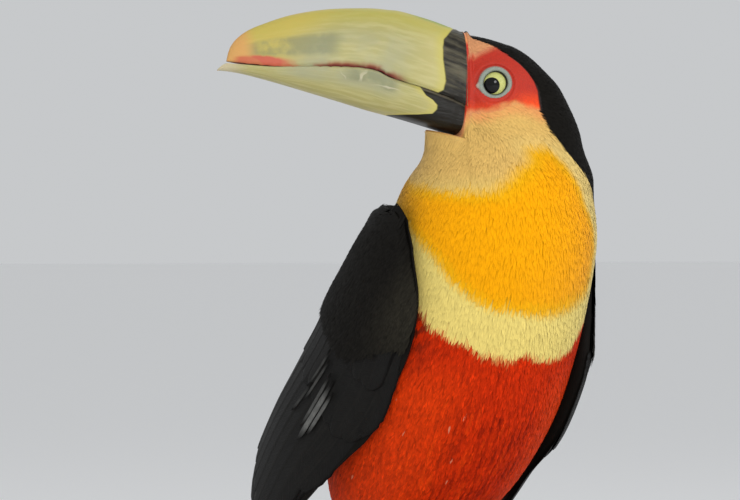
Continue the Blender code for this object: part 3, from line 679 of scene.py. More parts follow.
def markings(points, angle):
    """Colour, and how black, red and bare each point of the body is, from its height, its angle
    round the body and its place on the head. All edges are soft steps, 1 to 6 mm wide."""
    height = points[..., 2] - BREAST[2]
    x, _, z = in_head(points)
    turn = np.degrees(angle)
    aside = (turn - table(BIB_MIDDLE, height) + 180) % 360 - 180
    wobble = ripple(points, 9.0, 1) * 0.6
    cream = mix(CREAM_LOW, (CREAM_HIGH, ease(height, 5, 28)),
                (CREAM_PALE, ease(aside, 52, 80) * ease(height, 45, 30) * 0.7),
                (PEACH, ease(height, 36, 52) * ease(-15, -x, 20) * 0.35))
    inside = within(aside, height, ORANGE, 0.75) + wobble
    warm = mix(ORANGE_EDGE, (ORANGE_RIPE, ease(inside, 0, 7)),
               (srgb(212, 156, 24), ease(aside, -30, -62) * ease(height, -2, 14) * 0.8))
    belly = table(BELLY_TOP, turn - 360 * np.round(turn / 360)) - height + ripple(points, 5.0, 2) * 0.9
    lane = np.stack([turn * 0.8, height * 0.13, 0 * turn], -1)
    shade = (0.45 * ripple(lane, 5.0, 3) + 0.75 * ripple(lane, 1.7, 13)) * (0.5 + 0.6 * ease(-height, 62, 88))
    # Painted shade: dark brown on the breast beside the right wing, where the wing shades it
    painted_shade_by_wing = np.exp(-((turn + 66) / 9) ** 2) * ease(height, -27, -36) * ease(height, -62, -46)
    # Bright streaks of the plumage, plus painted light on the lower belly at the bird's right, beside the
    # right wing
    streaks_and_painted_light = ease(shade, -0.2, -0.9) * 0.5 + ease(aside, -6, -40) * ease(-height, 46, 70) * 0.6
    red = mix(BELLY_RED, (BELLY_DEEP, ease(shade, 0.05, 0.9) * 0.75),
              (BELLY_BRIGHT, ease(aside, 18, 45) * ease(aside, 150, 100) * ease(-height, 45, 75) * 0.7),
              (BELLY_BRIGHT, streaks_and_painted_light), (srgb(66, 32, 18), painted_shade_by_wing * ease(ripple(points, 4.0, 6), -0.5, 0.4) * 0.85))
    is_red, rump = ease(belly, -1.9, 1.7), ease(-height, 84, 96)
    nape, crown = (np.abs(aside) - table(BIB_HALF, height)) * 0.7, table(CROWN, z) - x
    black = nape + (crown - nape) * np.clip((height - 32) / 13, 0, 1)
    is_black = ease(black + wobble * 0.4, -0.5, 0.6) * (1 - rump)
    face, low, near = within(x, z, FACE), ease(z, 60, 51), ease(height, 40, 48)
    blush = mix(FACE_RED, (FACE_WARM, ease(z, 61, 55) * ease(x, 4, -6) + ease(z, 57, 52) * 0.6),
                (FLESH, ease(face, 3.0, -0.3) * ease(x, 4, 10) * ease(z, 66, 74) * 0.9))
    is_bare = near * ease(face + low * ripple(points, 4.0, 5), -0.5 - 1.8 * low, 0.5 + 1.2 * low)
    colour = mix(cream, (warm, ease(inside, -3.2, 2.2)), (red, is_red), (red, rump),
                 (PEACH, near * ease(face, -8, -1) * low * 0.8),
                 (FLESH, near * np.maximum(ease(x, 12, 16) * ease(z, 46, 56), ease(z, 68, 74)) * 0.85),
                 (blush, is_bare), (BLACK, is_black))
    return colour, is_black, np.maximum(is_red, rump), is_bare * (1 - is_black)


def clear_of_bill(points):
    """Points in the bill's room, which lies over the keel and ahead of a slanting plane that
    crosses the bill's base, go down and back at once until they reach its edge. Also says which
    were in it."""
    x, y, z = in_bill(points)
    ahead = x - (BILL_FACE + BILL_SLANT * z + 0.03 * np.clip(-12 - z, 0, 16))
    above = z - (np.interp(x, BILL[:, 0], BILL[:, 3]) - np.interp(x, (0, 24), (2.7, 1.7)))
    depth = np.where(np.abs(y) < 40, np.clip(np.minimum(ahead, above), 0, None), 0)
    return points - depth[..., None] * (BILL_X + BILL_Z), depth > 0


def narrowed(points):
    """Draws the face in to the bill's base: its distance from the gape's middle is softly kept
    under the base's oval plus a margin that widens behind; below the gape only the width is. Close
    to the bill the face lies right on that limit."""
    x, y, z = in_bill(points)
    behind = np.abs(x - (BILL_FACE + 0.1 + BILL_SLANT * z))
    top, gape, _, width = along(BILL, 6.5)
    up, aside = z - gape, np.abs(y) + 1e-6
    over = np.maximum(up, 0)
    reach = np.where(up > 0, np.hypot(aside, up), aside)
    power, stiff = ARCH_POWER, 16
    oval = ((aside / reach / width) ** power + (over / reach / (top - gape)) ** power) ** (-1 / power)
    limit = oval + 1.0 - 1.2 * ease(behind, 1.2, 0) + 0.7 * np.clip(behind - 3, 0, None)
    limit = limit + 0.6 * np.clip(-up - 10, 0, None)
    ratio = reach / limit
    kept = (1 + ratio ** stiff) ** (-1 / stiff)
    share = kept + (1 / ratio - kept) * ease(ratio, 0.8, 0.92) * ease(behind, 3.2, 1.4) * ease(up, -1, 3) - 1
    return points + (y * share)[..., None] * LEFT + (over * share)[..., None] * BILL_Z


def eye_frame(side):
    """Centre of an eyeball and its axes: towards the bill, up, and out along the gaze."""
    out = unit(EYE_GAZE * (1, side, 1))
    ahead = unit(np.array([1.0, 0, 0]) - out[0] * out)
    return HEAD_AXIS + (EYE_PLACE * (1, side, 1)) @ HEAD, np.stack([ahead, UP, out]) @ HEAD


def moulded(points):
    """Shift of each point of the body: down on the crown, in to the bill, and out from each eye by
    a bell curve of the distance from its gaze, less a narrow one at the lids' edge and a pit
    behind the eyeball."""
    x, _, z = in_head(points)
    sink = np.interp(x, (-13, -5, 1, 11, 17), (0, 1.3, 2, 2, 1)) * ease(z, 66, 78)
    shaped = narrowed(points - sink[..., None] * UP)
    for side in (1, -1):
        centre, axes = eye_frame(side)
        ahead, up, out = apart((shaped - centre) @ axes.T)
        away = np.hypot(ahead, up)
        swell = 0.55 * np.exp(-((away - 9.0) / 1.3) ** 2) - 0.35 * np.exp(-((away - 7.5) / 0.5) ** 2)
        shift = np.where(out > 0, swell - 4.5 * ease(away, 6.4, 5.2), 0)
        shaped = shaped + shift[..., None] * axes[2]
    return shaped - points


def ruffled(points):
    """Shift of the tufts: the skin's, and outwards where the nape's feathers stand up a little."""
    x, _, z = in_head(points)
    lift = 2.1 * ease(z, 12, 28) * ease(z, 76, 60) * ease(-x, 9, 20)
    return moulded(points) - lift[..., None] * FORWARD


def thigh(side, share, angle):
    """Tube from the ankle up and back into the belly: its middle runs in a straight line that
    spreads with the square of the share, and its radius follows the table THIGH."""
    ankle = np.array([side * FOOT_X, 0, SOLE_Z]) + LEG_WAY * SHANK_LENGTH
    out = np.cos(angle)[..., None] * (side, 0, 0) + np.sin(angle)[..., None] * LEG_TOP
    spread_out = np.stack([side * share ** 2, 0 * share, 0 * share], -1)
    return (ankle + share[..., None] * THIGH_LENGTH * LEG_WAY + spread_out
            + along(THIGH, share) * out)


def make_skin():
    """One skin over head, neck, trunk and thighs: the body's surface moulded, sunk by the coat's
    depth and cleared of the bill; the thighs, a little inside their tufts, end in the belly."""
    row, angle = crossed(np.interp(np.linspace(0, 1, 320), (0, 0.38, 1), (0.02, 6.0, 15.97)),
                         np.linspace(-math.pi, math.pi, 290, endpoint=False))
    point, normal, _, _ = framed(body, row, angle)
    colour, _, _, bare = markings(point, angle)
    depth = table(COAT_DEPTH, row) * (1 - 0.7 * bare)
    parts = [clear_of_bill(point + moulded(point) - normal * depth[..., None])[0]]
    tints = [colour.reshape(-1, 3), colour[[0, -1]].mean(1)]
    for side in (1, -1):
        point, normal, _, _ = framed(partial(thigh, side), *crossed(np.linspace(0, 1, 30), turns(40)))
        inset = 1.2 * np.sign(dot(normal, point - point.mean(1, keepdims=True)))
        parts.append(point - normal * inset[..., None])
        tints.append(np.broadcast_to(BLACK, (30 * 40 + 2, 3)))
    put("skin", joined(parts), "skin", "head", "neck", "trunk", "thigh_left", "thigh_right",
        tint=np.concatenate(tints))


# ---------------------------------------------------------------- coat

TUFT_SHARE = np.array([0.0, 0.35, 0.8, 1.0])  # root, two rings and tip
TUFT_WIDTH = np.array([0.85, 0.8])
# By point of a tuft: first ring, second ring, root and tip. The tone is painted shade: darker towards the
# root, where each tuft lies under the ones over it, and a little lighter at the exposed tip.
TUFT_PAINTED_SHADE = np.array([0.93, 0.93, 0.93, 1.0, 1.0, 1.0, 0.9, 1.03])
TUFT_BOW = np.array([-0.05, -0.05, -0.05, 0.1, 0.1, 0.1, -0.1, 0.2])
TUFT_MAP = np.array([[0, .3], [.5, .3], [1, .3], [0, .8], [.5, .8], [1, .8], [.5, 0], [.5, 1]]) * 0.003
MOST_TUFTS = 16000  # in one piece, which keeps it under 200,000 triangles


def tuft_shapes(surface, a, b, heading, length, half, rise, sunk, sign=1, bend=lambda at: 0):
    """Lancet tufts: at share s of its length a tuft's middle lies over the surface's point
    (a + s va, b + s vb), lifted by rise s - sunk; its section is a low triangle, half wide.
    Gives the shapes (rings, poles and the normals they shade with, which are the surface's bowed
    a little over the tuft), and the surface's numbers and points at the tufts' outer part."""
    _, normal, by_a, by_b = framed(surface, a, b)
    way = unit(heading - dot(heading, normal)[..., None] * normal)
    aa, ab, bb = dot(by_a, by_a), dot(by_a, by_b), dot(by_b, by_b)
    fa, fb = dot(way, by_a), dot(way, by_b)
    fall = aa * bb - ab ** 2 + 1e-9
    share = TUFT_SHARE[:, None] * length
    at_a, at_b = a + share * ((bb * fa - ab * fb) / fall), b + share * ((aa * fb - ab * fa) / fall)
    point, normal, _, _ = framed(surface, at_a, at_b)
    normal = normal * sign
    lift = rise * TUFT_SHARE[:, None] - sunk
    middle = point + bend(point) + normal * lift[..., None]
    aside = unit(np.cross(normal[1:3], way))
    across = aside * (TUFT_WIDTH[:, None] * half)[..., None]
    ridge = normal[1:3] * (0.12 * half)[..., None]
    rings = np.stack([middle[1:3] - across, middle[1:3] + ridge, middle[1:3] + across], 2)
    soft = normal[1:3, :, None] + np.array([-0.22, 0, 0.22])[:, None] * aside[:, :, None]
    soft = np.concatenate([soft.swapaxes(0, 1).reshape(len(a), 6, 3), normal[[0, 3]].swapaxes(0, 1)], 1)
    soft = unit(soft + TUFT_BOW[:, None] * way[:, None])
    return (rings.swapaxes(0, 1), middle[[0, 3]].swapaxes(0, 1), soft), at_a[2], at_b[2], point[2]


def coat(name, kind, shapes, tints, across, down):
    """Pieces of joined tufts. On the map each tuft is a small patch at its root's place, given as
    shares across and down it."""
    rings, poles, soft = shapes
    root = np.stack([across, down], -1)
    order = np.argsort(down + 1e-9 * np.arange(len(root)), kind="stable")
    groups = np.array_split(order, max(1, math.ceil(len(order) / MOST_TUFTS)))
    for number, group in enumerate(groups, 1):
        # Painted shade: each tuft's tint darkened towards its root and lightened a little at its tip
        tint = tints[group][:, None] * TUFT_PAINTED_SHADE[:, None]
        put(f"{name}_{number}" if len(groups) > 1 else name, shells(rings[group], poles[group]), kind,
            uv=root[group][:, None] + TUFT_MAP, soft=soft[group], tint=tint.reshape(-1, 3))


def spread(count, seed=0.0):
    """Evenly scattered pairs between 0 and 1, by steps of the plastic number."""
    number = np.arange(count) + 0.5
    return (seed + number * 0.7548776662) % 1, (seed + number * 0.5698402910) % 1


def draws(count):
    """Two sources of random numbers, one for each tuft: uniform(low, high), and scatter(size),
    which gives vectors with bell-curve coordinates."""
    return partial(rng.uniform, size=count), partial(rng.normal, 0, size=(count, 3))


def body_coat():
    """Tufts over head, neck and trunk, scattered by area times COAT_DENSITY: they lie back from
    the bill over the head and down the body below it. None on the bare face."""
    fine = np.linspace(0.05, 15.9, 400)
    ring = body(*crossed(fine, np.linspace(0, TURN, 72)))
    girth = np.linalg.norm(np.diff(ring, axis=1), axis=-1).sum(1)
    step = np.linalg.norm(np.gradient(ring, axis=0), axis=-1).mean(1)
    density = girth * step * table(COAT_DENSITY, fine)
    total = np.concatenate([[0], np.cumsum(density[1:] + density[:-1])])
    u, v = spread(TUFTS["body"], 0.31)
    row, angle = np.interp(u * total[-1], total, fine), (v * 2 - 1) * math.pi
    point = body(row, angle)
    _, room = clear_of_bill(point + moulded(point))
    keep = ~room & (markings(point, angle)[3] < 0.35)
    for side in (1, -1):
        centre, axes = eye_frame(side)
        ahead, up, out = apart((point - centre) @ axes.T)
        keep &= (np.hypot(ahead, up) > 8.0) | (out < 0)
    row, angle, point = row[keep], angle[keep], point[keep]
    count = len(row)
    on_head = ease(point[:, 2] - BREAST[2], 34, 56)
    heading = mix(unit(body(row + 0.02, angle) - point), (unit(-FORWARD * 0.9 - UP * 0.5), on_head))
    heading = heading + rng.normal(0, 0.07, (count, 3))
    heading += 0.12 * np.stack([ripple(point, 14.0, 20 + k) for k in range(3)], -1)
    jitter = rng.uniform(0.8, 1.2, (2, count))
    depth = table(COAT_DEPTH, row)
    rise = depth * rng.uniform(0.8, 1.05, count) + 0.25
    shapes, at_row, at_angle, at = tuft_shapes(
        body, row, angle, heading, table(COAT_LENGTH, row) * jitter[0], table(COAT_HALF, row) * jitter[1],
        rise, depth + 0.25, bend=ruffled)
    stray = rng.normal(0, 0.35, (count, 3)) * (1 - on_head)[:, None]
    colour, black, red, _ = markings(at + stray, at_angle)
    colour = colour * (1 + rng.normal(0, 0.04, count) * (1 + 2.5 * red))[:, None]
    pale = (rng.random(count) < 0.0007) & (red > 0.9) & (black < 0.1)
    colour = np.where(pale[:, None], srgb(222, 130, 98), colour)
    across, down = (angle / TURN + 0.5) * 0.99, np.interp(row, (0, 16), (0.005, 0.98))
    kinds = {"black": black > 0.5, "red": (black <= 0.5) & (red > 0.5)}
    kinds["bib"] = ~(kinds["black"] | kinds["red"])
    for kind, chosen in kinds.items():
        coat(f"coat_{kind}", kind, [part[chosen] for part in shapes], colour[chosen],
             across[chosen], down[chosen])


def thigh_coat():
    """Black tufts over each thigh, lying down along it, shorter towards the ankle."""
    for name, side in SIDES.items():
        u, v = spread(TUFTS["thigh"], 0.1 + 0.3 * side)
        uniform, scatter = draws(len(u))
        share, rise = 0.02 + 0.85 * u, uniform(1.0, 1.5)
        shapes, *_ = tuft_shapes(partial(thigh, side), share, v * TURN, scatter(0.08) - LEG_WAY,
                                 uniform(5, 7.5) * (0.4 + 0.6 * ease(share, 0, 0.3)),
                                 uniform(0.6, 0.9), rise, 1.3, side)
        coat(f"coat_thigh_{name}", "black", shapes, BLACK * uniform(0.8, 1.25)[:, None],
             v * 0.48 + (0.5 if side > 0 else 0.0), u * 0.98)


# ---------------------------------------------------------------- wings and tail


def wing_at(side, s, t, depth=0.0):
    """Patch of a cylinder along the trunk: s from the wrist, t across it towards the back. Its
    radius follows the table's stand-off and is drawn in towards the upper edge."""
    off = along(WINGS[side], s)[..., 3]
    tuck = WING_TUCK * np.clip((t / WING_RADIUS - 0.45) / 0.6, 0, 1) ** 1.5
    local = about(WING_RADIUS + off - tuck - depth, t / WING_RADIUS, s)
    (c, n), (d, m) = ((math.cos(turn), math.sin(turn)) for turn in (WING_LEAN, WING_SWING[side]))
    spin = np.array([[1, 0, 0], [0, c, n], [0, n, -c]]) @ np.array([[d, 0, m], [0, 1, 0], [-m, 0, d]])
    placed = local @ spin.T + (0, WING_ROOT[side], WING_TOP)
    return placed * (SIDES[side], 1, 1) + BREAST


def wing_core(side):
    """The wing's body inside its feathers: the same patch, a feather's depth inside, with its
    own thickness, thin at both edges."""
    s = np.linspace(1, 174, 70)[:, None]
    low, high, thick, _ = apart(along(WINGS[side], s[:, 0]))
    share = np.sin(np.linspace(-1, 1, 21) * math.pi / 2)
    t = (low + high)[:, None] / 2 + (high - low)[:, None] / 2 * share * 0.95
    inner = 2.5 + np.maximum(thick[:, None] - 4.5, 0.3) * (np.sqrt(1 - share ** 2) * 0.85 + 0.1)
    rings = np.concatenate([wing_at(side, s, t, 2.3), wing_at(side, s, t, inner)[:, ::-1]], 1)
    put(f"wing_{side}_core", shells(rings), "black", f"wing_{side}", tint=BLACK * 0.8)


VANE = np.array([-1, -0.75, -0.4, -0.1, 0, 0.1, 0.4, 0.75, 1, 0.7, 0, -0.7])  # over and back under
VANE_IS_TOP = np.arange(len(VANE)) < 9


def vanes(name, place, base, tip, half, depth, tone, bow=0.0, tilt=0.35, painted_highlight_share=None):
    """Closed feather vanes. The shaft runs from base to tip in the surface's own numbers, with a
    bow; half width grows from the quill and closes in a round tip; the section is slightly
    arched, with a raised shaft, and tilted so that each lies over its neighbour's edge."""
    count, rows = len(half), 22
    q = 1 - (1 - np.linspace(0, 1, rows)) ** 1.5
    ahead = (tip - base) / np.linalg.norm(tip - base, axis=0)
    aside = np.stack([-ahead[1], ahead[0]])[..., None]
    line = base[..., None] + (tip - base)[..., None] * q + aside * (np.sin(q * math.pi) * bow)
    shape = np.sqrt(np.clip(1 - np.clip((q - 0.72) / 0.28, 0, 1) ** 2.4, 0, 1))
    shape = (0.5 + 0.5 * ease(q, 0, 0.35)) * shape + 0.015
    ragged = 1 + 0.035 * rng.normal(size=(count, rows, 1))
    across = VANE * half[:, None, None] * shape[:, None] * ragged
    shaft = np.exp(-(VANE / 0.07) ** 2) * VANE_IS_TOP
    height = (1 - VANE ** 2) * 0.45 + 0.32 * shaft * (1 - 0.7 * q[:, None]) + tilt * VANE
    height = height - np.where(VANE_IS_TOP, 0.0, 0.38)
    s, t = line[..., None] + aside[..., None] * across
    low, high = (np.reshape(end, (-1, 1)) for end in depth)
    rings = place(s, t, (low + (high - low) * q)[..., None] - height)
    columns = math.ceil(math.sqrt(count))
    cell = np.stack([np.arange(count) % columns, np.arange(count) // columns], -1) / columns
    local = np.stack(np.broadcast_arrays((VANE + 1) / 2, q[:, None]), -1).reshape(-1, 2)
    local = np.concatenate([local, [[0.5, 0], [0.5, 1]]])
    edge = np.concatenate([np.tile(VANE, rows), [0, 0]])
    reach = np.concatenate([np.repeat(q, len(VANE)), [0, 1]])
    tint = BLACK * (np.reshape(tone, (-1, 1)) * (1 + 0.25 * (edge > 0.6) - 0.25 * (edge < -0.6)))[..., None]
    tint = tint * (1 + 0.5 * (np.abs(edge) < 0.05))[:, None]
    # Painted highlight: a pale silvery streak along the vane, standing for light caught on the feather's edge
    if painted_highlight_share is not None:
        streak = np.reshape(painted_highlight_share, (-1, 1)) * ease(reach, 0.05, 0.35) * ease(reach, 1.0, 0.7)
        tint = mix(tint, (srgb(150, 150, 146), streak))
    barb = np.stack(np.broadcast_arrays(edge, reach, np.arange(count)[:, None] + 0.0), -1)
    put(name, shells(rings), "vane", uv=cell[:, None] + (0.04 + 0.92 * local) / columns,
        tint=tint.reshape(-1, 3), barb=barb.reshape(-1, 3))


def feather_row(side, name, count, bow, power, *pairs):
    """Vanes whose measures go in straight lines, first + c more, from the lowest feather (c = 0)
    to the highest (c = 1), but for the ends' place along the wing, which follows c to a power."""
    c = np.linspace(0, 1, count)
    lines = [first + more * (c ** power if line == 2 else c) for line, (first, more) in enumerate(pairs)]
    jitter = rng.uniform(-1, 1, (4, count)) * [[1], [0.6], [1.5], [0.6]]
    ends = np.array(lines[:4]) + jitter
    vanes(f"wing_{side}_{name}", partial(wing_at, side), ends[:2], ends[2:], lines[4], lines[5:],
          rng.uniform(0.8, 1.2, count), bow)


def wing(side):
    """Primaries under secondaries under two rows of coverts, and small soft tufts in front."""
    wing_core(side)
    feather_row(side, "primaries", *PRIMARIES[side])
    feather_row(side, "secondaries", *SECONDARIES)
    feather_row(side, "primary_coverts", *PRIMARY_COVERTS[side])
    for name, measures in COVERTS.items():
        feather_row(side, name, *measures)
    # Thin vanes on top of the wing that carry painted silvery highlight streaks
    edges = PAINTED_HIGHLIGHT_EDGES[:PAINTED_HIGHLIGHT_COUNT[side]].T
    vanes(f"wing_{side}_painted_highlight_edges", partial(wing_at, side), edges[:2], edges[:2] + edges[2:4], edges[4],
          (-0.2, 0.2), np.ones(len(edges[0])), tilt=0.1, painted_highlight_share=edges[5])
    u, v = spread(TUFTS["wing"], 0.17 + 0.2 * SIDES[side])
    uniform, scatter = draws(len(u))
    s = -1 + (44 + 22 * ease(v, 0.02, 0.3)) * u
    low, high = apart(along(WINGS[side], np.maximum(s, 0)))[:2]
    low = low + 4 * ease(s, 20, 55)
    t = low + (high - low) * v
    reach = wing_at(side, s + 1, t) - wing_at(side, s, t)
    rise = uniform(0.7, 1.1) + 0.2 * ease(s, 40, 60)
    shapes, *_ = tuft_shapes(partial(wing_at, side), s, t, reach + scatter(0.09), uniform(5, 8),
                             uniform(0.4, 0.65), rise, 0.9 - 0.7 * ease(s, 35, 60), SIDES[side])
    grey = ease(s, 62, 30) * ease(s, 2, 16) * ease(t, -6, -26) * uniform(0.3, 0.8)
    tint = mix(BLACK * uniform(0.75, 1.35)[:, None], (srgb(66, 62, 50), grey * 0.6))
    coat(f"coat_wing_{side}", "black", shapes, tint, u * 0.98, v * 0.98)


def cape_at(side, s, t):
    """Surface from the back out over the wing's upper edge: for each distance s along the wing,
    a parabola across, t from 0 to 1, by a point of the back, one by the edge and one on the wing."""
    row = np.interp(6 - 0.79 * s, BODY[::-1, 0], np.arange(len(BODY))[::-1])
    low, high = apart(along(WINGS[side], s))[:2]
    first = body(row, SIDES[side] * np.interp(s, (-5, 35), (1.95, 2.75)))
    second, third = wing_at(side, s, high - 4, -0.3), wing_at(side, s, np.maximum(high - 20, low + 4), 0.4)
    t, k = t[..., None], 0.55
    return (first * (t - k) * (t - 1) / k + second * t * (t - 1) / (k * (k - 1))
            + third * t * (t - k) / (1 - k))


def mantle(side):
    """Soft pad of plumage from the back over the wing's upper edge, so that the folded wing grows
    out of the mantle: the cape's surface over the same surface pushed in, under tufts."""
    surface = partial(cape_at, side)
    along_pad, t = crossed(np.linspace(0, 1, 70), np.linspace(0, 1, 24))
    point, normal, _, _ = framed(surface, 3 + (103 - 34 * (2 * t - 1) ** 2) * along_pad, t)
    thick = (0.4 + 3.5 * np.sin(t * math.pi) * np.sin(along_pad * math.pi) ** 0.5)[..., None]
    inward = normal * SIDES[side]
    rings = np.concatenate([point + inward * 0.8, (point + inward * (0.9 + thick))[:, ::-1]], 1)
    put(f"mantle_{side}", shells(rings), "black", tint=BLACK)
    u, v = spread(TUFTS["mantle"], 0.4)
    uniform, scatter = draws(len(u))
    s, t = 3 + (102 - 34 * (2 * v - 1) ** 2) * u, 0.01 + 0.98 * v
    rise = uniform(0.9, 1.3)
    shapes, *_ = tuft_shapes(surface, s, t, surface(s + 1, t) - surface(s, t) + scatter(0.09),
                             uniform(7, 10), uniform(0.5, 0.8), rise, 1.0, -SIDES[side])
    coat(f"coat_mantle_{side}", "black", shapes, BLACK * uniform(0.75, 1.3)[:, None], u * 0.98, v * 0.98)


def tail_at(s, t, depth):
    """Point of the tail: s along it, t across it, depth below its upper side, which falls away
    from the middle with the square of t."""
    width, thick = apart(along(TAIL, s / TAIL_LENGTH))
    over = 0.55 * thick - 0.12 * t ** 2 / width - depth
    return TAIL_ROOT + s[..., None] * TAIL_WAY + t[..., None] * (1, 0, 0) + over[..., None] * TAIL_UP


def tail_root(share, angle, inset=0.0):
    """Flattened oval tube of the tail's root, thinning along the tail and flared at its start."""
    width, thick = apart(along(TAIL, share))
    narrow, flare = 1 - 0.45 * ease(share, 0.1, 0.42), ease(share, 0.1, RUMP_SHARE)
    x = (width * narrow * (1 + 0.25 * flare) - inset) * np.cos(angle)
    z = (thick * (1 + 0.7 * flare) - inset) * np.sin(angle) - 0.12 * width * np.cos(angle) ** 2
    return (TAIL_ROOT + (share * TAIL_LENGTH)[..., None] * TAIL_WAY + x[..., None] * (1, 0, 0)
            + z[..., None] * TAIL_UP)


def tail():
    """Ten tail feathers, the middle pair on top, and the root's soft body under red coverts."""
    order = np.array([4, 3, 2, 1, 0])
    for name, side in SIDES.items():
        start = np.stack([6 + 0 * order, side * (order + 0.5) * 2.6])
        end = np.stack([148.5 - 1.5 * order ** 1.4, side * (order + 0.5) * 4.5])
        depth = order * 0.55, order * 0.75 + 0.3
        vanes(f"tail_feathers_{name}", tail_at, start, end, np.full(5, 7.8), depth,
              rng.uniform(0.85, 1.15, 5), bow=side * 1.0, tilt=-side * 0.3)
    core = tail_root(*crossed(np.linspace(RUMP_SHARE, COVERT_SHARE, 34), turns(48)), 1.2)
    put("tail_root", shells(core), "red", "tail", slot="black_feathers", tint=BELLY_RED * 0.7)
    u, v = spread(TUFTS["tail"], 0.6)
    uniform, scatter = draws(len(u))
    share = np.clip(RUMP_SHARE + 0.48 * u + rng.normal(0, 0.02, len(u)), RUMP_SHARE, COVERT_SHARE)
    rise, length = uniform(0.9, 1.4), uniform(7, 15)
    shapes, *_ = tuft_shapes(tail_root, share, v * TURN, TAIL_WAY + scatter(0.05), length,
                             uniform(0.6, 0.95), rise, 1.3)
    tint = mix(BELLY_RED, (BELLY_BRIGHT, 0.7)) * uniform(0.75, 1.25)[:, None]
    coat("coat_tail", "red", shapes, tint, v * 0.98, u * 0.98)


# ---------------------------------------------------------------- bill and eyes


def mandible(upper):
    """Arched sections from the face to the tip over a hollowed mouth side. The arch is a power
    oval; the cutting edge is notched, the base has a low rim, the black base shallow folds."""
    end, tip = BILL[-1, 0], BILL[-1, 0] if upper else LOWER_TIP
    reach, culmen, gape, keel, width = spline(BILL, np.linspace(0, len(BILL) - 1, 145)).T
    station = np.interp(reach, (BILL[0, 0], end), (BILL[0, 0], tip))
    if upper:
        notch = np.clip(np.sin(station * 1.35 + 0.8 * np.sin(station * 0.31)), -0.2, 1) ** 2
        root, top = gape + 0.1 - 0.35 * notch * ease(station, 24, 34) * ease(station, 99, 90), culmen
    else:
        drop = TIP_DROP * np.clip((reach - end) / TIP_BEND + 1, 0, 1) ** 2
        root = gape - 0.1 - (GAPE_OPEN - 0.2) * np.clip(reach / end, 0, 1) ** 3 - drop
        top = keel - 1.2 * np.clip(1 - reach / 30, 0, 1)
        width = width * 0.96
    root, top, width, station = (values[:, None] for values in (root, top, width, station))
    angle = np.linspace(0, math.pi, 61)
    square = np.clip(1 - reach / SLANT_END, 0, 1)[:, None]
    power = 2 / (ARCH_POWER if upper else ARCH_POWER + 2.6 * square)
    across = np.sign(np.cos(angle)) * np.abs(np.cos(angle)) ** power
    inner = np.linspace(-MOUTH_WIDTH, MOUTH_WIDTH, 9)
    hollow = np.clip(0.7 + 0.5 * square, 0.2, 2) * (1 - (inner / MOUTH_WIDTH) ** 2) * (1 if upper else -1)
    arch, floor = (top - root) * np.sin(angle) ** power, hollow * np.clip(width / 6, 0, 1)
    y = np.concatenate([width * across, width * inner], 1)
    z = root + np.concatenate([arch, floor], 1)
    base = station + 0 * z
    rim = 0.25 * np.exp(-((base - 4.5) / 1.2) ** 2)
    fold = 0.12 * np.sin(base * 2.1 + 0.4 * z) * ease(base, 14, 9) * ease(base, 3, 6)
    growth = 1 + (rim + fold - 0.35) / 20
    x = base + BILL_SLANT * square * z
    place = np.stack([x, z, (z - root) / (top - root)], -1)
    place = np.concatenate([place.reshape(-1, 3), place[[0, -1]].mean(1)])
    name = "bill_upper" if upper else "bill_lower"
    put(name + "_horn", shells(BILL_ROOT + np.stack([x, y * growth, z * growth], -1) @ BILL_AXES),
        "bill", name, place=place, upper=np.full(len(place), float(upper)))


def lids(name, centre, axes):
    """Ring of skin round an eye: a rounded profile turned about the gaze, finely wrinkled, wider
    at the corner towards the bill and open a little further behind and above."""
    turn, profile = turns(144)[:, None], turns(22)[None, :]
    gap = (turn - math.radians(-8) + math.pi) % TURN - math.pi
    corner = np.exp(-(gap / 0.16) ** 2)
    inner = 4.75 + 0.35 * ease(np.cos(turn - math.radians(140)), 0, 1)
    outer = 7.15 + 1.0 * corner
    wrinkle = 1 + 0.02 * np.sin(turn * 46) * np.clip(np.sin(profile), 0, 1)
    radius = ((inner + outer) / 2 + (outer - inner) / 2 * np.cos(profile)) * wrinkle
    local = about(radius, turn, 4.35 + 1.15 * np.clip(np.sin(profile), -0.7, 1) - 0.1 * (radius - 6))
    rim = np.cos(profile) + 0 * turn
    # The lid darker at its inner edge: partly the rim's own darker skin, partly painted shade where the lid
    # folds in to the eye
    colour = mix(LID_BLUE + 0 * local, (LID_DARK, ease(-rim, 0.55, 0.98) * 0.8),
                 (FACE_RED * 0.8, ease(rim, 0.5, 1.0) * 0.7),
                 (srgb(214, 190, 170), corner * ease(rim, 0, 0.6) * 0.7))
    shell = centre + local.reshape(-1, 3) @ axes, [grid(144, 22, wrap_rows=True)]
    put(f"lids_{name}", shell, "skin", slot="foot_skin", tint=colour.reshape(-1, 3))


def eyes():
    """Eyeballs: balls turned about the gaze, (r sin polar cos turn, r sin polar sin turn,
    r cos polar), with a radius that swells a little in front; and their lids."""
    polar, turn = np.linspace(0.02, math.pi - 0.02, 60)[:, None], turns(72)[None, :]
    radius = (EYE_RADIUS - 0.15) + 0.15 * np.exp(-(polar / 0.55) ** 2)
    local = about(radius * np.sin(polar), turn, radius * np.cos(polar))
    place = np.concatenate([local.reshape(-1, 3), [[0, 0, radius.max()], [0, 0, -radius.max()]]])
    for name, side in SIDES.items():
        centre, axes = eye_frame(side)
        put(f"eyeball_{name}", shells(centre + local @ axes), "eye", f"eye_{name}", place=place)
        lids(name, centre, axes)


# ---------------------------------------------------------------- feet, perch and stand


def perch_radius(angle, x):
    """The branch swells and flattens a little along its length, but never above its top."""
    wave = 0.03 * np.sin(2 * angle + 0.04 * x) + 0.025 * np.sin(3 * angle - 0.065 * x)
    return PERCH_RADIUS * (0.97 + wave * np.clip(np.abs(x) / FOOT_X - 1.2, 0, 1))


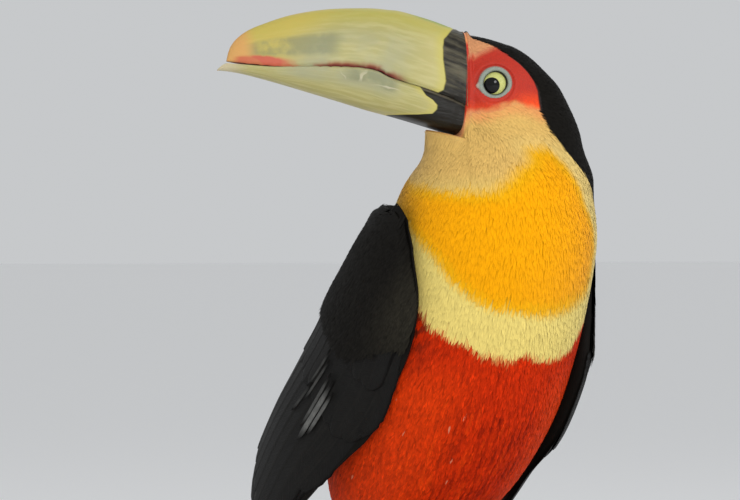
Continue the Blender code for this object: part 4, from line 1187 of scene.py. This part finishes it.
def perch_point(angle, x, lift):
    """(x, r cos, r sin) about the perch's middle line, with r the perch's radius plus a lift."""
    radius = perch_radius(angle, x) + lift
    return np.stack([x + 0 * radius, radius * np.cos(angle), PERCH_Z + radius * np.sin(angle)], -1)


def tube(path, radii, sides):
    """Round sections along a path that runs about square to the X axis; radii per ring or per
    ring and point."""
    ways = unit(np.gradient(path, axis=0))
    side = unit(np.array([1.0, 0, 0]) - ways[:, :1] * ways)
    cos, sin = np.cos(turns(sides))[:, None], np.sin(turns(sides))[:, None]
    radii = np.reshape(radii, (len(path), -1))[..., None]
    return path[:, None] + radii * (cos * side[:, None] + sin * np.cross(side, ways)[:, None])


def foot(name):
    """Shank, pad and four toes with scutes: plates whose edges step along the back of each toe,
    with soft pads below, and a hooked claw on each."""
    side = SIDES[name]
    sole = np.array([side * FOOT_X, 0, SOLE_Z])
    share, around = np.linspace(0, 1.25, 60)[:, None], turns(20)[None, :]
    plate = share * SHANK_LENGTH / SHANK_PLATE % 1
    radius = SHANK_RADIUS * along(SHANK, share[:, 0])[:, :1]
    radius = radius + 0.16 * plate * ease(np.abs(np.sin(around)), 0.1, 0.7) - 0.1
    parts, scutes = [tube(sole + LEG_WAY * share * SHANK_LENGTH, radius, 20)], [plate + 0 * around]
    polar = np.linspace(0.05, math.pi - 0.05, 20)[:, None]
    knobs = 1 + 0.03 * np.sin(around * 7) * np.sin(polar * 9)
    parts.append(sole + about(np.sin(polar), around, np.cos(polar)) * knobs[..., None] * PAD)
    scutes.append((polar * 2.2 % 1) + 0 * around)
    for toe, (root, tip, length, ahead) in TOES.items():
        share = np.linspace(0, 1.02, 90)
        angle = math.pi / 2 + ahead * (share * length / TOE_TURN + TOE_START)
        x = side * (FOOT_X + root + (tip - root) * np.clip(share, 0, 1))
        path = perch_point(angle, x, TOE_RADIUS * (0.8 - 0.12 * share))
        radius = TOE_RADIUS * (1.0 - 0.25 * share + 0.07 * np.cos(share * 4 * math.pi))
        radius = radius * np.sqrt(np.clip((1.02 - share) / 0.05, 0.02, 1))
        outer, share = np.sin(turns(18)) * ahead, share[:, None]
        plate = share * length / TOE_PLATE % 1
        pads = 0.22 * np.clip(np.sin(share * length / TOE_PAD), 0, 1) * ease(-outer, 0.1, 0.9)
        steps = 0.2 * (1 - plate) * ease(outer, -0.1, 0.6)
        parts.append(tube(path, radius[:, None] + steps + pads - 0.12, 18))
        scutes.append(plate + 0 * outer)
        claw(name, toe, tip, length, ahead)
    phases = [numbers for scute in scutes for numbers in (scute.ravel(), [0.5, 0.5])]
    put(f"foot_{name}_skin", joined(parts), "foot", f"foot_{name}", scute=np.concatenate(phases))


def claw(name, toe, tip, length, ahead):
    """Tapering hook that carries on round the perch from the toe, narrower than it is deep."""
    share = np.linspace(0, 1, 26)
    start = length / TOE_TURN + TOE_START + CLAW_START - 0.06
    angle = math.pi / 2 + ahead * (start + share * (CLAW_LENGTH / TOE_TURN + 0.06))
    path = perch_point(angle, SIDES[name] * (FOOT_X + tip + 0 * share), TOE_RADIUS * (0.82 - 0.36 * share))
    radii = TOE_RADIUS * (0.6 - 0.52 * share ** 0.9)[:, None] * (1 - 0.22 * np.abs(np.cos(turns(14))))
    put(f"claw_{name}_{toe}_horn", shells(tube(path, radii, 14)), "claw", f"claw_{name}_{toe}")


def perch():
    """Peeled branch: the solid's radius less ridges that wind along it, with sunken knots, each in
    a raised ring (bell curves of the distance from its middle), and softly broken ends."""
    x, angle = crossed(np.linspace(-1, 1, 300) * PERCH_HALF, turns(140))
    wind = np.stack([x * 0.25, 14 * np.cos(angle + x * 0.006), 14 * np.sin(angle + x * 0.006)], -1)
    ridge = 0.5 + 0.35 * ripple(wind, 4.5, 8) + 0.25 * ripple(wind * (1.6, 1, 1), 2.2, 9)
    hollow = np.clip(ridge, 0, 1.6) * 0.9
    away = [np.hypot((x - at) / 5.0, np.angle(np.exp(1j * (angle - turn))) / 0.33) for at, turn in KNOTS]
    knots = sum(np.exp(-gap ** 2) for gap in away)
    ring = sum(np.exp(-((gap - 1.3) / 0.3) ** 2) for gap in away)
    ends = 1.2 * np.clip((np.abs(x) - PERCH_HALF + 1.6) / 1.6, 0, 1) ** 2
    rings = perch_point(angle, x, -(hollow + 1.3 * knots - 0.3 * ring + ends + 0.1))
    dark = np.clip(0.8 * (hollow - 0.75) + 0.8 * knots, 0, 0.85)
    put("perch_wood", shells(rings), "perch", "perch", hollow=np.concatenate([dark.ravel(), [0, 0]]))


def lathe(profile, x=0.0, count=128):
    """A profile of radius and height turned about an upright axis."""
    radius, height = np.array(profile, float).T[:, :, None]
    return shells(about(radius, turns(count), height) + (x, 0, 0))


def arc(middle, height, across, up, low, high, count):
    """Oval arc of a profile: (middle + across cos, height + up sin) between two angles in radians."""
    angle = np.linspace(low, high, count)
    return [*zip(middle + across * np.cos(angle), height + up * np.sin(angle))]


def stand():
    """Turned base, flat with a bead, a cove and a rounded upper edge, and two rods into sockets."""
    edge, quarter = BASE_RADIUS, math.pi / 2
    profile = [(1, 0), (40, 0), (80, 0), (edge - 1.6, 0), (edge - 0.6, 0.8),
               *arc(edge - 2.2, 4.4, 2.2, 2.2, -1.2, 1.2, 9),
               *arc(edge - 2.5, 11.0, 4.0, -3.6, 0.15 + quarter, 1.5 + quarter, 8),
               *arc(edge - 7.5, BASE_HEIGHT - 2.0, 2.0, 2.0, 0, 1.57, 7),
               *((radius, BASE_HEIGHT) for radius in (70, 50, 30, 12, 1))]
    put("stand_base_wood", lathe(profile), "base", "stand_base")
    low, high = BASE_HEIGHT - ROD_SOCKET, PERCH_Z - PERCH_RADIUS + ROD_SOCKET
    heights = (low + 0.3, *np.linspace(low + 1, high - 1, 12), high - 0.3)
    rod = [(0.5, low), *((ROD_RADIUS, height) for height in heights), (0.5, high)]
    for name, side in SIDES.items():
        put(f"stand_rod_{name}_steel", lathe(rod, side * ROD_X, 40), "steel", f"stand_rod_{name}")


# ---------------------------------------------------------------- light, floor and camera

CAMERA_SIDE, CAMERA_AWAY, CAMERA_LENS = math.radians(30), 0.95, 109.0  # metres away, mm of lens
TARGET_RIGHT, TARGET_UP = -54.27, -6.36  # of the breast, where the camera and the lights aim
SKY_COLOUR, SKY_STRENGTH = (0.92, 0.94, 0.96, 1), 0.62
LIGHTS = {  # metres towards the camera, to its right and up from the target; size; watts
    "window": (1.15, 0.06, 0.36, 0.42, 4.6), "fill": (0.8, 1.0, 0.6, 1.2, 4.4),
    "rear": (-0.9, 0.2, 1.1, 1.0, 1.6)}


def place_at(thing, where, towards):
    """Puts a light or camera at a point in metres, looking along -Z towards another."""
    thing.location = where
    thing.rotation_euler = Vector(towards - where).to_track_quat("-Z", "Y").to_euler()
    bpy.context.scene.collection.objects.link(thing)


def studio():
    """Camera level with the bird's breast and 30 degrees to its right, three round soft lights, a
    pale sky and a flat floor, all placed from the target by distances back, right and up."""
    scene = bpy.context.scene
    scene.view_settings.view_transform = "Standard"
    right = np.array([math.cos(CAMERA_SIDE), -math.sin(CAMERA_SIDE), 0])
    back = np.array([-math.sin(CAMERA_SIDE), -math.cos(CAMERA_SIDE), 0])
    target = (BREAST + right * TARGET_RIGHT + UP * TARGET_UP) * MM
    camera = bpy.data.objects.new("camera", bpy.data.cameras.new("camera"))
    camera.data.sensor_width, camera.data.lens, camera.data.clip_start = 36.0, CAMERA_LENS, 0.01
    place_at(camera, target + back * CAMERA_AWAY, target)
    scene.camera = camera
    for name, (nearer, aside, above, size, power) in LIGHTS.items():
        light = bpy.data.lights.new(name, "AREA")
        light.shape, light.size, light.energy = "DISK", size, power
        where = target + back * nearer + right * aside + UP * above
        place_at(bpy.data.objects.new(name, light), where, target)
    world = bpy.data.worlds.new("studio")
    world.use_nodes = True
    sky = world.node_tree.nodes["Background"].inputs
    sky[0].default_value, sky[1].default_value = SKY_COLOUR, SKY_STRENGTH
    scene.world = world
    mesh = bpy.data.meshes.new("floor")
    mesh.from_pydata([(-40, -40, 0), (40, -40, 0), (40, 40, 0), (-40, 40, 0)], [], [(0, 1, 2, 3)])
    floor = bpy.data.objects.new("floor", mesh)
    scene.collection.objects.link(floor)
    mesh.materials.append(Shader("floor_paper", Roughness=0.9).finish(Base_Color=(0.95, 0.95, 0.95)))


studio()
make_skin()
body_coat()
thigh_coat()
for which in SIDES:
    wing(which)
    mantle(which)
    foot(which)
tail()
mandible(True)
mandible(False)
eyes()
perch()
stand()
